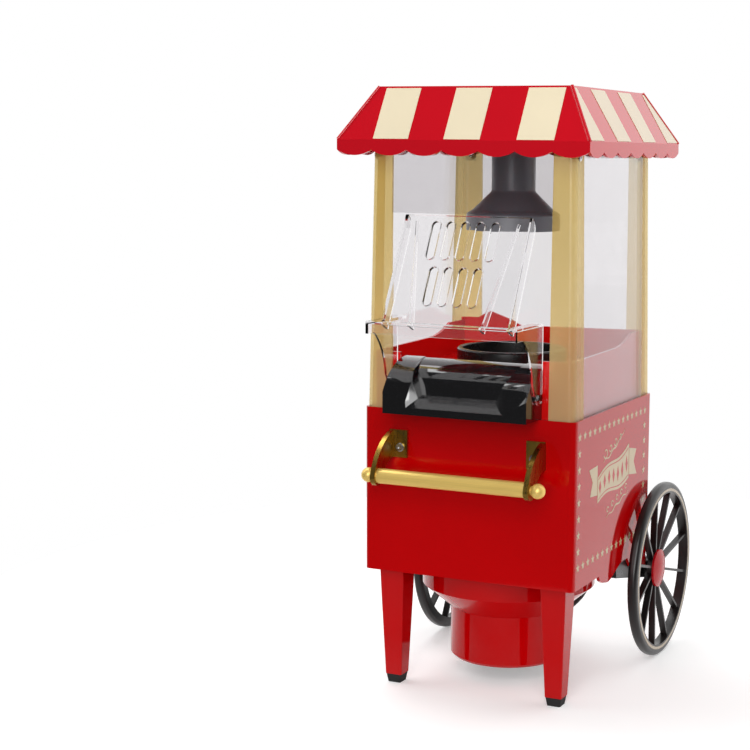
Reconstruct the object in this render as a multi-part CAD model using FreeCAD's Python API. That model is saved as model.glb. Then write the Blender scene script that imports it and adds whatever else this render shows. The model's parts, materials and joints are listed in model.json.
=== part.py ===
import FreeCAD, Part
import math
import os

os.makedirs("parts", exist_ok=True)

# Table-top hot-air popcorn maker in the shape of a street cart.  Millimetres, +Z up.
# Everything below is laid out about the centre of the square cabinet, with the front
# towards -Y, and save() moves it so that the origin is under the middle of the whole cart.

# Driving dimensions
BODY_W = 152.4             # cabinet, outside
BODY_D = 150.0
BODY_BOTTOM = 81.6
BODY_TOP = 193.0
BODY_WALL = 2.2
BODY_TOP_PLATE = 2.5
BODY_EDGE_R = 4.0

CASE_TOP_Z = 366.0         # clear case, with a slight draft
CASE_HALF_LOW = 74.6
CASE_HALF_HIGH = 71.8
CASE_WALL = 2.0
CASE_EDGE_R = 4.5
POST_INNER = 57.0          # where each gold corner post ends, from the centre line
DOORWAY_TOP = 323.0

ROOF_Y = -2.0
ROOF_EAVE_HALF = 88.3
ROOF_TOP_HALF = 67.9
ROOF_EAVE_Z = 370.3
ROOF_TOP_Z = 405.0
ROOF_WALL = 2.2
ROOF_SOFFIT = 2.3
SCALLOPS = 7
SCALLOP_LOW_Z = 360.2
SCALLOP_HIGH_Z = 363.8

AXIS_Y = -3.0              # popping chamber, fan and kettle share one vertical axis
FAN_WIDE_R = 60.5
FAN_NARROW_R = 40.6
FAN_SHELL = 2.0
FAN_STEP_HIGH_Z = 65.0
FAN_STEP_LOW_Z = 48.5
FAN_BOTTOM_Z = 13.0

LEG_X = 59.2
LEG_Y = -59.0
LEG_TOP = 18.0
LEG_KNEE = 16.6
LEG_KNEE_Z = 62.0
LEG_FOOT = 12.0
FOOT_H = 6.0

WHEEL_R = 63.2
WHEEL_Y = 81.7
WHEEL_IN_X = 79.9
WHEEL_OUT_X = 87.1
RIM_DEPTH = 7.6
TREAD_EDGE_R = 2.8
HUB_R = 11.5
SPOKES = 12
AXLE_R = 3.0
AXLE_PLAY = 0.05

HANDLE_Y = -98.5
HANDLE_Z = 151.6
HANDLE_R = 5.0
ARM_IN = 52.7
ARM_OUT = 56.0

TRAY_HALF = 51.0
TRAY_FRONT_Y = -97.0
TRAY_FOOT_Y = -71.2        # the foot stands against the deck
TRAY_REAR_Y = -62.0        # the brow reaches in over the deck's front wall
TRAY_LOW = 193.2
TRAY_BROW_Z = 207.3
TRAY_TOP_Z = 227.5
TRAY_UNDER_Z = 221.6
LIP_HALF = 34.0            # notch in the front wall
LIP_Z = 198.0
CREASE_Y = -92.0           # where the channel's floor meets the lip's slope
CREASE_HALF = 27.6
CREASE_Z = 203.8
CHANNEL_FLARE = 0.4        # how far the channel's sides lean out per unit of height

DOOR_PIVOT_Y = -79.5
DOOR_PIVOT_Z = 208.0
DOOR_PIN_R = 2.0
DOOR_PLAY = 0.06
WING_IN = 51.3
WING_OUT = 52.7
LEDGE_FRONT_Y = -117.0
LEDGE_TOP_Z = 255.3
LEDGE_H = 8.0
PLATE_LOW_Y = -111.3
PLATE_HIGH_Y = -76.2
PLATE_HIGH_Z = 322.2
PLATE_HALF = 44.8
CLEAR_T = 1.8

ORIGIN_Y = (WHEEL_Y + WHEEL_R + LEDGE_FRONT_Y) / 2    # middle of the cart's depth

TUB_HALF = 71.0
TUB_WALL = 2.0
TUB_FLOOR_Z = 216.5
TUB_FRONT_Z = 230.6
TUB_REAR_Z = 239.0
CUP_R = 33.0
CUP_BOTTOM_Z = 150.0

CORD_D = 5.0
COIL_X = -36.0
COIL_Y = 82.0
COIL_IN_R = 20.5
COIL_OUT_R = 32.0
COIL_H = 15.5

SWITCH_X = 42.0            # rocker switch in the rear wall
SWITCH_Z = 150.0
SWITCH_W = 21.0
SWITCH_H = 27.0
SWITCH_DEPTH = 16.0
SWITCH_PIVOT_Y = 71.5
SWITCH_THROW = 16.0
VENT_ROWS = 6
VENT_LOW_Z = 100.0
VENT_PITCH = 8.0
VENT_H = 2.6
VENT_HALF = 24.0

BASE_T = 2.5
BASE_HOLE_R = 57.0
BASE_SCREW_R = 3.4
BASE_SCREW_X = 38.0
BASE_SCREW_Y = 66.5
INTAKE_R = 36.0
GRILLE_T = 2.0
GRILLE_RINGS = (27.0, 18.0, 9.0)
GRILLE_BAR = 2.0
GRILLE_HUB_R = 4.0
GRILLE_SPOKES = 8
LEG_EDGE_R = 1.0

BRACKET_IN_X = 66.0
BRACKET_OUT_X = 73.6
HUB_PROUD = 2.4
HUB_OUT_X = 81.7
AXLE_END_X = 81.3
SPOKE_T = 4.6
SPOKE_W = 1.9
CAP_R = 13.6
CAP_H = 3.6
CAP_RIM = 1.5

CASE_SCREW_R = 2.4
CASE_SCREW_Z = 360.4
CASE_SCREW_IN = 65.0       # from the case's middle, along the face
LUG_HALF = 3.6
CASE_TOP_T = 3.0
KETTLE_NECK_R = 15.0
KETTLE_CONE_R = 27.8
KETTLE_R = 32.0
KETTLE_WALL = 2.0
KETTLE_NECK_Z = 336.0
KETTLE_CONE_Z = 324.2
KETTLE_BRIM_Z = 321.6
KETTLE_LOW_Z = 310.5

TUB_PEAK_Z = 246.4
PEAK_X = -48.9
CUP_WALL = 1.2
FLANGE_R = 44.0
AIR_SLOTS = 16
COLLAR_R = 37.6
COLLAR_TOP_Z = 230.0
DUCT_R = 38.0
DUCT_LOW_R = 54.0
DUCT_NECK_Z = 118.0
MOUNT_T = 3.0
BOARD_HALF = 28.0
BOARD_LOW_Z = 124.0
COIL_TURNS = 5
WIRE_R = 0.8
THERMOSTAT_X = 52.0
THERMOSTAT_Y = 40.0
MOTOR_R = 13.5
MOTOR_LOW_Z = 79.0
MOTOR_TOP_Z = 108.0
SHAFT_R = 1.6
IMPELLER_R = 38.0
IMPELLER_LOW_Z = 60.0
IMPELLER_HIGH_Z = 75.0
IMPELLER_BLADES = 9
BOARD_W = 34.0
BOARD_H = 28.0
BOARD_Y = 62.0

FLANGE_DEPTH = 9.0
SLOT_W = 6.2
SLOT_L = 27.0
SLOT_PITCH = 10.4
SLOT_TOP_GAP = 4.2
SLOT_ROW_GAP = 5.0
SLOT_RIM = 0.6
SLOT_EDGE = 0.5
HANDLE_TOP_Z = 179.2
HANDLE_PLATE_H = 18.5
HANDLE_SCREW_R = 3.0
HANDLE_SCREW_X = 48.2
HANDLE_SCREW_Z = 167.6
HANDLE_PIN_R = 2.0
KNOB_X = 60.3
KNOB_R = 4.9
KNOB_NECK_R = 3.0

ROOF_SEAT_Z = CASE_TOP_Z + CASE_TOP_T
HIP_R = 1.3
TAB_X = 32.0
TAB_Y = 50.0

RELIEF_X = 37.8
RELIEF_Y = 57.0
RELIEF_LOW_Z = 66.0
RELIEF_R = 5.0
PLUG_X = -61.0
PLUG_Y = 96.0
PLUG_W = 24.0
PLUG_L = 27.0
PLUG_H = 13.0
PLUG_PIN_GAP = 14.0
PLUG_PIN_R = 2.0
PLUG_PIN_L = 18.0

SHANK_SHARE = 0.42         # a screw's shank, as a share of its head
HOLE_PLAY = 0.1

V = FreeCAD.Vector
X_AXIS = V(1, 0, 0)
Z_AXIS = V(0, 0, 1)


def save(name, shape):
    """Write one node, moved to the cart's own origin."""
    moved = shape.copy()
    moved.translate(V(0, -ORIGIN_Y, 0))
    moved.exportStep("parts/" + name + ".step")
    print(name, "valid" if moved.isValid() else "NOT VALID", len(moved.Solids), round(moved.Volume))


def box(x0, x1, y0, y1, z0, z1):
    return Part.makeBox(x1 - x0, y1 - y0, z1 - z0, V(x0, y0, z0))


def rod(radius, start, end):
    along = end.sub(start)
    return Part.makeCylinder(radius, along.Length, start, along)


def ring(outer, inner, z0, z1, x=0.0, y=AXIS_Y):
    solid = Part.makeCylinder(outer, z1 - z0, V(x, y, z0))
    return solid.cut(Part.makeCylinder(inner, z1 - z0, V(x, y, z0)))


def turned(points, x=0.0, y=AXIS_Y):
    """A closed outline of (radius, z) points turned about a vertical axis."""
    outline = Part.makePolygon([V(x + r, y, z) for r, z in points + points[:1]])
    return Part.Face(outline).revolve(V(x, y, 0), Z_AXIS, 360)


def side_profile(points, x0, x1):
    """A closed outline of (y, z) points, as thick as x0 to x1."""
    outline = Part.makePolygon([V(x0, y, z) for y, z in points + points[:1]])
    return Part.Face(outline).extrude(V(x1 - x0, 0, 0))


def rounded_square(half, radius, z, cx=0.0, cy=0.0, half_y=None):
    half_y = half if half_y is None else half_y
    flat_x = half - radius
    flat_y = half_y - radius
    edges = []
    for quarter in range(4):
        sx = (1, -1, -1, 1)[quarter]
        sy = (1, 1, -1, -1)[quarter]
        centre = V(cx + sx * flat_x, cy + sy * flat_y, z)
        start = math.radians(90 * quarter)
        bend = [centre.add(V(radius * math.cos(a), radius * math.sin(a), 0))
                for a in (start, start + math.pi / 4, start + math.pi / 2)]
        edges.append(Part.Arc(bend[0], bend[1], bend[2]).toShape())
        nx = (-1, -1, 1, 1)[quarter]
        ny = (1, -1, -1, 1)[quarter]
        turn = math.radians(90 * (quarter + 1))
        following = V(cx + nx * flat_x, cy + ny * flat_y, z)
        corner = following.add(V(radius * math.cos(turn), radius * math.sin(turn), 0))
        edges.append(Part.LineSegment(bend[2], corner).toShape())
    return Part.Wire(edges)


def tapered(half_low, half_high, radius, z0, z1, cx=0.0, cy=0.0):
    low = rounded_square(half_low, radius, z0, cx, cy)
    high = rounded_square(half_high, radius, z1, cx, cy)
    return Part.makeLoft([low, high], True, True)


def mirrored(shape):
    return shape.mirror(V(0, 0, 0), X_AXIS)


def hole_r(head_r):
    """Radius of the clearance hole for a screw with that head."""
    return head_r * SHANK_SHARE + HOLE_PLAY


def screw(at, inward, head_r, head_h, length):
    """A pan-head screw seated at a point, its shank going inward."""
    outward = inward * -1.0
    head = Part.makeCylinder(head_r, head_h, at, outward)
    top_edges = [edge for edge in head.Edges if edge.Closed and
                 edge.CenterOfMass.sub(at).dot(outward) > head_h * 0.9]
    head = head.makeChamfer(head_h * 0.4, top_edges)
    recess = rod(head_r * 0.32, at + outward * (head_h * 0.5), at + outward * (head_h * 1.1))
    return head.cut(recess).fuse(Part.makeCylinder(head_r * SHANK_SHARE, length, at, inward))


def along_edges(shape, axis, low, high, extra=0.01):
    """Edges of a shape that run along one axis between two heights."""
    found = []
    for edge in shape.Edges:
        bounds = edge.BoundBox
        spans = {"x": bounds.XLength, "y": bounds.YLength, "z": bounds.ZLength}
        length = spans.pop(axis)
        if length > extra and max(spans.values()) < extra and low <= length <= high:
            found.append(edge)
    return found


# ---- Cabinet and underside ----

def cabinet_shell():
    outer = Part.Face(rounded_square(BODY_W / 2, BODY_EDGE_R, BODY_BOTTOM, half_y=BODY_D / 2))
    outer = outer.extrude(V(0, 0, BODY_TOP - BODY_BOTTOM))
    inner_half = BODY_W / 2 - BODY_WALL
    inner = Part.Face(rounded_square(inner_half, BODY_EDGE_R - BODY_WALL, BODY_BOTTOM,
                                     half_y=BODY_D / 2 - BODY_WALL))
    inner = inner.extrude(V(0, 0, BODY_TOP - BODY_TOP_PLATE - BODY_BOTTOM))
    shell = outer.cut(inner)
    well = TUB_HALF - 8.0
    shell = shell.cut(box(-well, well, -well, well, BODY_TOP - 5, BODY_TOP + 5))
    rear = BODY_D / 2
    shell = shell.cut(box(SWITCH_X - SWITCH_W / 2, SWITCH_X + SWITCH_W / 2, rear - 4, rear + 4,
                          SWITCH_Z - SWITCH_H / 2, SWITCH_Z + SWITCH_H / 2))
    for row in range(VENT_ROWS):
        z = VENT_LOW_Z + row * VENT_PITCH
        shell = shell.cut(box(-VENT_HALF, VENT_HALF, rear - 4, rear + 4, z, z + VENT_H))
    for x, z in handle_screw_places():
        shell = shell.cut(rod(hole_r(HANDLE_SCREW_R), V(x, -rear - 2, z), V(x, -rear + 5, z)))
    for ear in side_ears():
        shell = shell.fuse(ear).fuse(mirrored(ear))
    return shell.removeSplitter()


def side_ears():
    """Two skirts that hang from the right-hand wall beside the axle arm."""
    x0, x1 = BODY_W / 2 - BODY_WALL, BODY_W / 2
    top = BODY_BOTTOM
    front = side_profile([(-27, top), (-25, 78), (-20, 75.5), (-10, 73.6), (-4, 74.4), (17, top)], x0, x1)
    rear = side_profile([(30, top), (37, 74), (50, 68), (70, 67.5), (70, top)], x0, x1)
    return front, rear


def handle_screw_places():
    return [(side * HANDLE_SCREW_X, HANDLE_SCREW_Z) for side in (-1, 1)]


def base_screw_places():
    return [(sx * BASE_SCREW_X, sy * BASE_SCREW_Y) for sx in (-1, 1) for sy in (-1, 1)]


def base_plate():
    outline = rounded_square(BODY_W / 2 - BODY_WALL, BODY_EDGE_R - BODY_WALL, BODY_BOTTOM,
                             half_y=BODY_D / 2 - BODY_WALL)
    plate = Part.Face(outline).extrude(V(0, 0, BASE_T))
    plate = plate.cut(Part.makeCylinder(BASE_HOLE_R, BASE_T, V(0, AXIS_Y, BODY_BOTTOM)))
    for x, y in base_screw_places():
        plate = plate.cut(Part.makeCylinder(hole_r(BASE_SCREW_R), BASE_T, V(x, y, BODY_BOTTOM)))
    return plate


def base_screws():
    up = V(0, 0, 1)
    return Part.makeCompound([screw(V(x, y, BODY_BOTTOM), up, BASE_SCREW_R, 1.6, 9.0)
                              for x, y in base_screw_places()])


def fan_outside():
    """The stepped housing's outer form, solid."""
    wide, narrow = FAN_WIDE_R, FAN_NARROW_R
    return turned([(0, BODY_BOTTOM), (wide, BODY_BOTTOM), (wide, FAN_STEP_HIGH_Z), (narrow, FAN_STEP_LOW_Z),
                   (narrow, FAN_BOTTOM_Z + 2.0), (narrow - 2.0, FAN_BOTTOM_Z), (0, FAN_BOTTOM_Z)])


def fan_housing():
    wide, narrow, shell = FAN_WIDE_R, FAN_NARROW_R, FAN_SHELL
    inner = [(0, BODY_BOTTOM), (wide - shell, BODY_BOTTOM), (wide - shell, FAN_STEP_HIGH_Z + 1.0),
             (narrow - shell, FAN_STEP_LOW_Z + 1.0), (narrow - shell, FAN_BOTTOM_Z + shell),
             (0, FAN_BOTTOM_Z + shell)]
    body = fan_outside().cut(turned(inner))
    return body.cut(Part.makeCylinder(INTAKE_R, 6.0, V(0, AXIS_Y, FAN_BOTTOM_Z - 2)))


def intake_grille():
    low = FAN_BOTTOM_Z + FAN_SHELL
    high = low + GRILLE_T
    grille = ring(FAN_NARROW_R - FAN_SHELL - 0.2, INTAKE_R - 3.0, low, high)
    for radius in GRILLE_RINGS:
        grille = grille.fuse(ring(radius, radius - GRILLE_BAR, low, high))
    hub = Part.makeCylinder(GRILLE_HUB_R, GRILLE_T, V(0, AXIS_Y, low))
    grille = grille.fuse(hub)
    for step in range(GRILLE_SPOKES):
        bar = box(0, INTAKE_R, AXIS_Y - GRILLE_BAR / 2, AXIS_Y + GRILLE_BAR / 2, low, high)
        bar.rotate(V(0, AXIS_Y, 0), Z_AXIS, step * 360.0 / GRILLE_SPOKES)
        grille = grille.fuse(bar)
    return grille.removeSplitter()


def front_leg():
    """The right-hand leg: square, with a short straight top and a long taper."""
    knee = square_loft(LEG_TOP, LEG_KNEE, BODY_BOTTOM, LEG_KNEE_Z)
    shin = square_loft(LEG_KNEE, LEG_FOOT, LEG_KNEE_Z, FOOT_H)
    return knee.fuse(shin).removeSplitter()


def square_loft(size_a, size_b, z_a, z_b):
    wire_a = rounded_square(size_a / 2, LEG_EDGE_R, z_a, LEG_X, LEG_Y)
    wire_b = rounded_square(size_b / 2, LEG_EDGE_R, z_b, LEG_X, LEG_Y)
    return Part.makeLoft([wire_a, wire_b], True, True)


def foot():
    return square_loft(LEG_FOOT - 0.6, LEG_FOOT - 2.6, FOOT_H, 0.0)


# ---- Axle and wheels ----

def axle_bracket():
    """The right-hand arm, bolted under the cabinet and reaching back to the axle."""
    boss_r = 8.0
    outline = [(13, BODY_BOTTOM), (30, BODY_BOTTOM), (37, 76), (48, 72.5), (WHEEL_Y, WHEEL_R + boss_r),
               (WHEEL_Y, WHEEL_R - boss_r), (48, 63), (15, 70)]
    arm = side_profile(outline, BRACKET_IN_X, BRACKET_OUT_X)
    boss = rod(boss_r, V(BRACKET_IN_X, WHEEL_Y, WHEEL_R), V(WHEEL_IN_X - HUB_PROUD - 0.4, WHEEL_Y, WHEEL_R))
    bore = rod(AXLE_R, V(BRACKET_IN_X - 5, WHEEL_Y, WHEEL_R), V(WHEEL_OUT_X, WHEEL_Y, WHEEL_R))
    return arm.fuse(boss).cut(bore)


def axle():
    return rod(AXLE_R, V(-AXLE_END_X, WHEEL_Y, WHEEL_R), V(AXLE_END_X, WHEEL_Y, WHEEL_R))


def wheel():
    """The right-hand wheel, one moulding of rim, flat spokes that lean in, and hub."""
    centre_in = V(WHEEL_IN_X, WHEEL_Y, WHEEL_R)
    centre_out = V(WHEEL_OUT_X, WHEEL_Y, WHEEL_R)
    tyre = rod(WHEEL_R, centre_in, centre_out)
    tyre = tyre.makeFillet(TREAD_EDGE_R, [edge for edge in tyre.Edges if edge.Closed])
    rim = tyre.cut(rod(WHEEL_R - RIM_DEPTH, centre_in, centre_out))
    root_x = HUB_OUT_X - SPOKE_T
    tip_x = (WHEEL_IN_X + WHEEL_OUT_X - SPOKE_T) / 2
    tip_z = 2 * WHEEL_R - RIM_DEPTH + 1.0
    near_y = WHEEL_Y - SPOKE_W / 2
    bend_z = WHEEL_R + CAP_R + 0.6
    blade = [V(root_x, near_y, WHEEL_R), V(HUB_OUT_X, near_y, WHEEL_R), V(HUB_OUT_X, near_y, bend_z),
             V(tip_x + SPOKE_T, near_y, tip_z), V(tip_x, near_y, tip_z), V(root_x, near_y, bend_z)]
    for step in range(SPOKES):
        spoke = Part.Face(Part.makePolygon(blade + blade[:1])).extrude(V(0, SPOKE_W, 0))
        spoke.rotate(centre_in, X_AXIS, (step + 0.5) * 360.0 / SPOKES)
        rim = rim.fuse(spoke)
    hub = rod(HUB_R, V(WHEEL_IN_X - HUB_PROUD, WHEEL_Y, WHEEL_R), V(HUB_OUT_X, WHEEL_Y, WHEEL_R))
    bore = rod(AXLE_R + AXLE_PLAY, V(WHEEL_IN_X - 5, WHEEL_Y, WHEEL_R), V(WHEEL_OUT_X, WHEEL_Y, WHEEL_R))
    return rim.fuse(hub).cut(bore)


def hub_cap():
    """The right-hand cap, a shallow dome over the hub's outer end."""
    flat_x = HUB_OUT_X
    dome_h = CAP_H - CAP_RIM
    dome_r = (CAP_R ** 2 + dome_h ** 2) / (2 * dome_h)
    rim = rod(CAP_R, V(flat_x, WHEEL_Y, WHEEL_R), V(flat_x + CAP_RIM, WHEEL_Y, WHEEL_R))
    ball = Part.makeSphere(dome_r, V(flat_x + CAP_H - dome_r, WHEEL_Y, WHEEL_R))
    dome = ball.common(rod(CAP_R, V(flat_x + CAP_RIM, WHEEL_Y, WHEEL_R), V(flat_x + 20, WHEEL_Y, WHEEL_R)))
    return rim.fuse(dome).removeSplitter()


# ---- Clear case ----

def case_skin():
    outer = tapered(CASE_HALF_LOW, CASE_HALF_HIGH, CASE_EDGE_R, BODY_TOP, CASE_TOP_Z)
    inner = tapered(CASE_HALF_LOW - CASE_WALL, CASE_HALF_HIGH - CASE_WALL, CASE_EDGE_R - CASE_WALL,
                    BODY_TOP, CASE_TOP_Z)
    return outer.cut(inner)


def case_face_at(z):
    """Half width of the case's outside at a height."""
    share = (z - BODY_TOP) / (CASE_TOP_Z - BODY_TOP)
    return CASE_HALF_LOW + (CASE_HALF_HIGH - CASE_HALF_LOW) * share


def case_screw_seats():
    """Where each corner post is screwed to the top plate: the seat and the way in."""
    face = case_face_at(CASE_SCREW_Z)
    seats = []
    for side in (-1, 1):
        seats.append((V(side * face, -CASE_SCREW_IN, CASE_SCREW_Z), V(-side, 0, 0)))
        seats.append((V(side * CASE_SCREW_IN, face, CASE_SCREW_Z), V(0, -1, 0)))
    return seats


def case_screw_hole(seat, inward):
    return rod(hole_r(CASE_SCREW_R), seat - inward * 3.0, seat + inward * 9.0)


def post(skin, side_x, side_y):
    far = 90.0
    x0, x1 = sorted((side_x * POST_INNER, side_x * far))
    y0, y1 = sorted((side_y * POST_INNER, side_y * far))
    corner = skin.common(box(x0, x1, y0, y1, BODY_TOP, CASE_TOP_Z))
    for seat, inward in case_screw_seats():
        corner = corner.cut(case_screw_hole(seat, inward))
    return corner


def panel(skin, turn, low_z=BODY_TOP):
    """The clear panel on one side, turned from the front about the vertical axis."""
    window = box(-POST_INNER, POST_INNER, -90, -60, low_z, CASE_TOP_Z)
    window.rotate(V(0, 0, 0), Z_AXIS, turn)
    return skin.common(window)


def case_screws():
    return Part.makeCompound([screw(seat - inward * 0.05, inward, CASE_SCREW_R, 1.0, 5.0)
                              for seat, inward in case_screw_seats()])


def case_top():
    """The clear top plate, with a lug down inside the corners for each screw."""
    plate = Part.Face(rounded_square(CASE_HALF_HIGH, CASE_EDGE_R, CASE_TOP_Z)).extrude(V(0, 0, CASE_TOP_T))
    plate = plate.cut(Part.makeCylinder(10.0, CASE_TOP_T, V(0, AXIS_Y, CASE_TOP_Z)))
    for seat, inward in case_screw_seats():
        near, far = seat + inward * (CASE_WALL + 0.4), seat + inward * (CASE_WALL + 4.4)
        x0, x1 = sorted((near.x, far.x))
        y0, y1 = sorted((near.y, far.y))
        grow_x, grow_y = abs(inward.y) * LUG_HALF, abs(inward.x) * LUG_HALF
        lug = box(x0 - grow_x, x1 + grow_x, y0 - grow_y, y1 + grow_y, CASE_SCREW_Z - LUG_HALF, CASE_TOP_Z)
        plate = plate.fuse(lug.cut(case_screw_hole(seat, inward)))
    return plate.removeSplitter()


def deflector_hood():
    """Kettle-shaped hood that turns the popcorn back down, hung from the top plate."""
    neck, cone, brim, wall = KETTLE_NECK_R, KETTLE_CONE_R, KETTLE_R, KETTLE_WALL
    lip_z = CASE_TOP_Z - 2.5
    return turned([(neck, CASE_TOP_Z), (neck, KETTLE_NECK_Z + 1.5), (neck + 0.8, KETTLE_NECK_Z),
                   (cone, KETTLE_CONE_Z), (brim - 0.8, KETTLE_BRIM_Z + 0.6), (brim, KETTLE_BRIM_Z - 0.6),
                   (brim, KETTLE_LOW_Z), (brim - wall, KETTLE_LOW_Z), (brim - wall, KETTLE_BRIM_Z - 2.0),
                   (cone - wall + 0.6, KETTLE_CONE_Z - wall), (neck - wall + 0.8, KETTLE_NECK_Z - wall),
                   (neck - wall, KETTLE_NECK_Z + 0.5), (neck - wall, lip_z), (neck - wall - 3.0, lip_z),
                   (neck - wall - 3.0, CASE_TOP_Z)])


# ---- Popping chamber and its works ----

def deck_tub():
    """Red inner deck: floor round the chamber, with walls that rise to the rear."""
    block = box(-TUB_HALF, TUB_HALF, -TUB_HALF, TUB_HALF, BODY_TOP, TUB_PEAK_Z + 4)
    block = block.makeFillet(CASE_EDGE_R, along_edges(block, "z", 10, 90))
    inner = TUB_HALF - TUB_WALL
    above = box(-inner, inner, -inner, inner, TUB_FLOOR_Z, TUB_PEAK_Z + 5)
    below = box(-inner, inner, -inner, inner, BODY_TOP - 1, TUB_FLOOR_Z - TUB_WALL)
    tub = block.cut(above).cut(below)
    x, front, rear, sky = -TUB_HALF - 5, -TUB_HALF - 5, TUB_HALF - 4, TUB_PEAK_Z + 9
    rim = [Part.LineSegment(V(x, front, TUB_FRONT_Z), V(x, 8, TUB_FRONT_Z + 0.8)).toShape(),
           Part.Arc(V(x, 8, TUB_FRONT_Z + 0.8), V(x, 29, TUB_FRONT_Z + 3.2), V(x, 44, TUB_REAR_Z)).toShape(),
           Part.LineSegment(V(x, 44, TUB_REAR_Z), V(x, rear, TUB_REAR_Z)).toShape(),
           Part.LineSegment(V(x, rear, TUB_REAR_Z), V(x, rear, sky)).toShape(),
           Part.LineSegment(V(x, rear, sky), V(x, front, sky)).toShape(),
           Part.LineSegment(V(x, front, sky), V(x, front, TUB_FRONT_Z)).toShape()]
    tub = tub.cut(Part.Face(Part.Wire(rim)).extrude(V(-2 * x, 0, 0)))
    gate = TRAY_HALF + 0.3
    tub = tub.cut(box(-gate, gate, -TUB_HALF - 5, TRAY_REAR_Y, TRAY_UNDER_Z - 0.3, TUB_PEAK_Z))
    crest = [(x, TUB_REAR_Z + 2), (PEAK_X - 9, TUB_REAR_Z + 2.2), (PEAK_X, TUB_PEAK_Z),
             (PEAK_X + 14, TUB_REAR_Z + 2.8), (PEAK_X + 25, TUB_REAR_Z - 2), (-x, TUB_REAR_Z - 0.4),
             (-x, sky), (x, sky)]
    outline = [V(across, rear - 2, z) for across, z in crest]
    tub = tub.cut(Part.Face(Part.makePolygon(outline + outline[:1])).extrude(V(0, 12, 0)))
    return tub.cut(Part.makeCylinder(CUP_R + 0.4, 30, V(0, AXIS_Y, TUB_FLOOR_Z - 15)))


def popping_chamber():
    """Deep-drawn aluminium cup with a flat flange, and slanted air slots low in its wall."""
    wall = CUP_WALL
    cup = turned([(0, CUP_BOTTOM_Z), (CUP_R, CUP_BOTTOM_Z), (CUP_R, TUB_FLOOR_Z), (FLANGE_R, TUB_FLOOR_Z),
                  (FLANGE_R, TUB_FLOOR_Z + wall), (CUP_R - wall, TUB_FLOOR_Z + wall),
                  (CUP_R - wall, CUP_BOTTOM_Z + wall), (0, CUP_BOTTOM_Z + wall)])
    for step in range(AIR_SLOTS):
        slot = box(CUP_R - 5, CUP_R + 5, AXIS_Y - 0.9, AXIS_Y + 0.9, CUP_BOTTOM_Z + 4, CUP_BOTTOM_Z + 16)
        slot.rotate(V(CUP_R, AXIS_Y, CUP_BOTTOM_Z + 10), X_AXIS, 25)
        slot.rotate(V(0, AXIS_Y, 0), Z_AXIS, step * 360.0 / AIR_SLOTS)
        cup = cup.cut(slot)
    return cup


def chamber_collar():
    low, high = TUB_FLOOR_Z + CUP_WALL, COLLAR_TOP_Z
    inside = COLLAR_R - 3.6
    return turned([(inside, low), (COLLAR_R, low), (COLLAR_R, high - 1.0), (COLLAR_R - 1.0, high),
                   (inside + 0.6, high), (inside, high - 0.6)])


def air_duct():
    low = BODY_BOTTOM + BASE_T + MOUNT_T
    wall = 1.4
    return turned([(DUCT_LOW_R, low), (DUCT_R, DUCT_NECK_Z), (DUCT_R, TUB_FLOOR_Z - TUB_WALL),
                   (DUCT_R - wall, TUB_FLOOR_Z - TUB_WALL), (DUCT_R - wall, DUCT_NECK_Z + 0.5),
                   (DUCT_LOW_R - wall, low)])


def heater_boards():
    """Two mica boards crossed on the axis, under the cup."""
    half = BOARD_HALF
    first = box(-half, half, AXIS_Y - 0.5, AXIS_Y + 0.5, BOARD_LOW_Z, CUP_BOTTOM_Z)
    second = box(-0.5, 0.5, AXIS_Y - half, AXIS_Y + half, BOARD_LOW_Z, CUP_BOTTOM_Z)
    return first.fuse(second).removeSplitter()


def heating_coil():
    turns = []
    for step in range(COIL_TURNS):
        z = BOARD_LOW_Z + 3.0 + step * 4.5
        turns.append(Part.makeTorus(BOARD_HALF + WIRE_R, WIRE_R, V(0, AXIS_Y, z)))
    return Part.makeCompound(turns)


def thermostat():
    top = TUB_FLOOR_Z - TUB_WALL
    can = Part.makeCylinder(8.0, 6.0, V(THERMOSTAT_X, THERMOSTAT_Y, top - 6.0))
    stem = Part.makeCylinder(5.0, 4.0, V(THERMOSTAT_X, THERMOSTAT_Y, top - 10.0))
    return can.fuse(stem)


def thermal_fuse():
    return Part.makeCylinder(1.8, 16.0, V(12.0, AXIS_Y + 0.5 + 1.8, BOARD_LOW_Z + 4))


def motor_mount():
    low = BODY_BOTTOM + BASE_T
    mount = ring(DUCT_LOW_R + 4, DUCT_LOW_R - 4, low, low + MOUNT_T)
    mount = mount.fuse(ring(MOTOR_R + 4, MOTOR_R + 0.1, low, low + MOUNT_T))
    for step in range(4):
        bar = box(MOTOR_R + 2, DUCT_LOW_R - 2, AXIS_Y - 3, AXIS_Y + 3, low, low + MOUNT_T)
        bar.rotate(V(0, AXIS_Y, 0), Z_AXIS, 45 + 90 * step)
        mount = mount.fuse(bar)
    return mount.removeSplitter()


def fan_motor():
    can = Part.makeCylinder(MOTOR_R, MOTOR_TOP_Z - MOTOR_LOW_Z, V(0, AXIS_Y, MOTOR_LOW_Z))
    rib_low = BODY_BOTTOM + BASE_T + MOUNT_T
    rib = ring(MOTOR_R + 2.0, MOTOR_R - 1, rib_low, rib_low + 2)
    bore = Part.makeCylinder(SHAFT_R + 0.05, MOTOR_TOP_Z - MOTOR_LOW_Z - 2, V(0, AXIS_Y, MOTOR_LOW_Z))
    return can.fuse(rib).cut(bore)


def motor_shaft():
    return Part.makeCylinder(SHAFT_R, MOTOR_TOP_Z - 4 - IMPELLER_LOW_Z, V(0, AXIS_Y, IMPELLER_LOW_Z))


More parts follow.
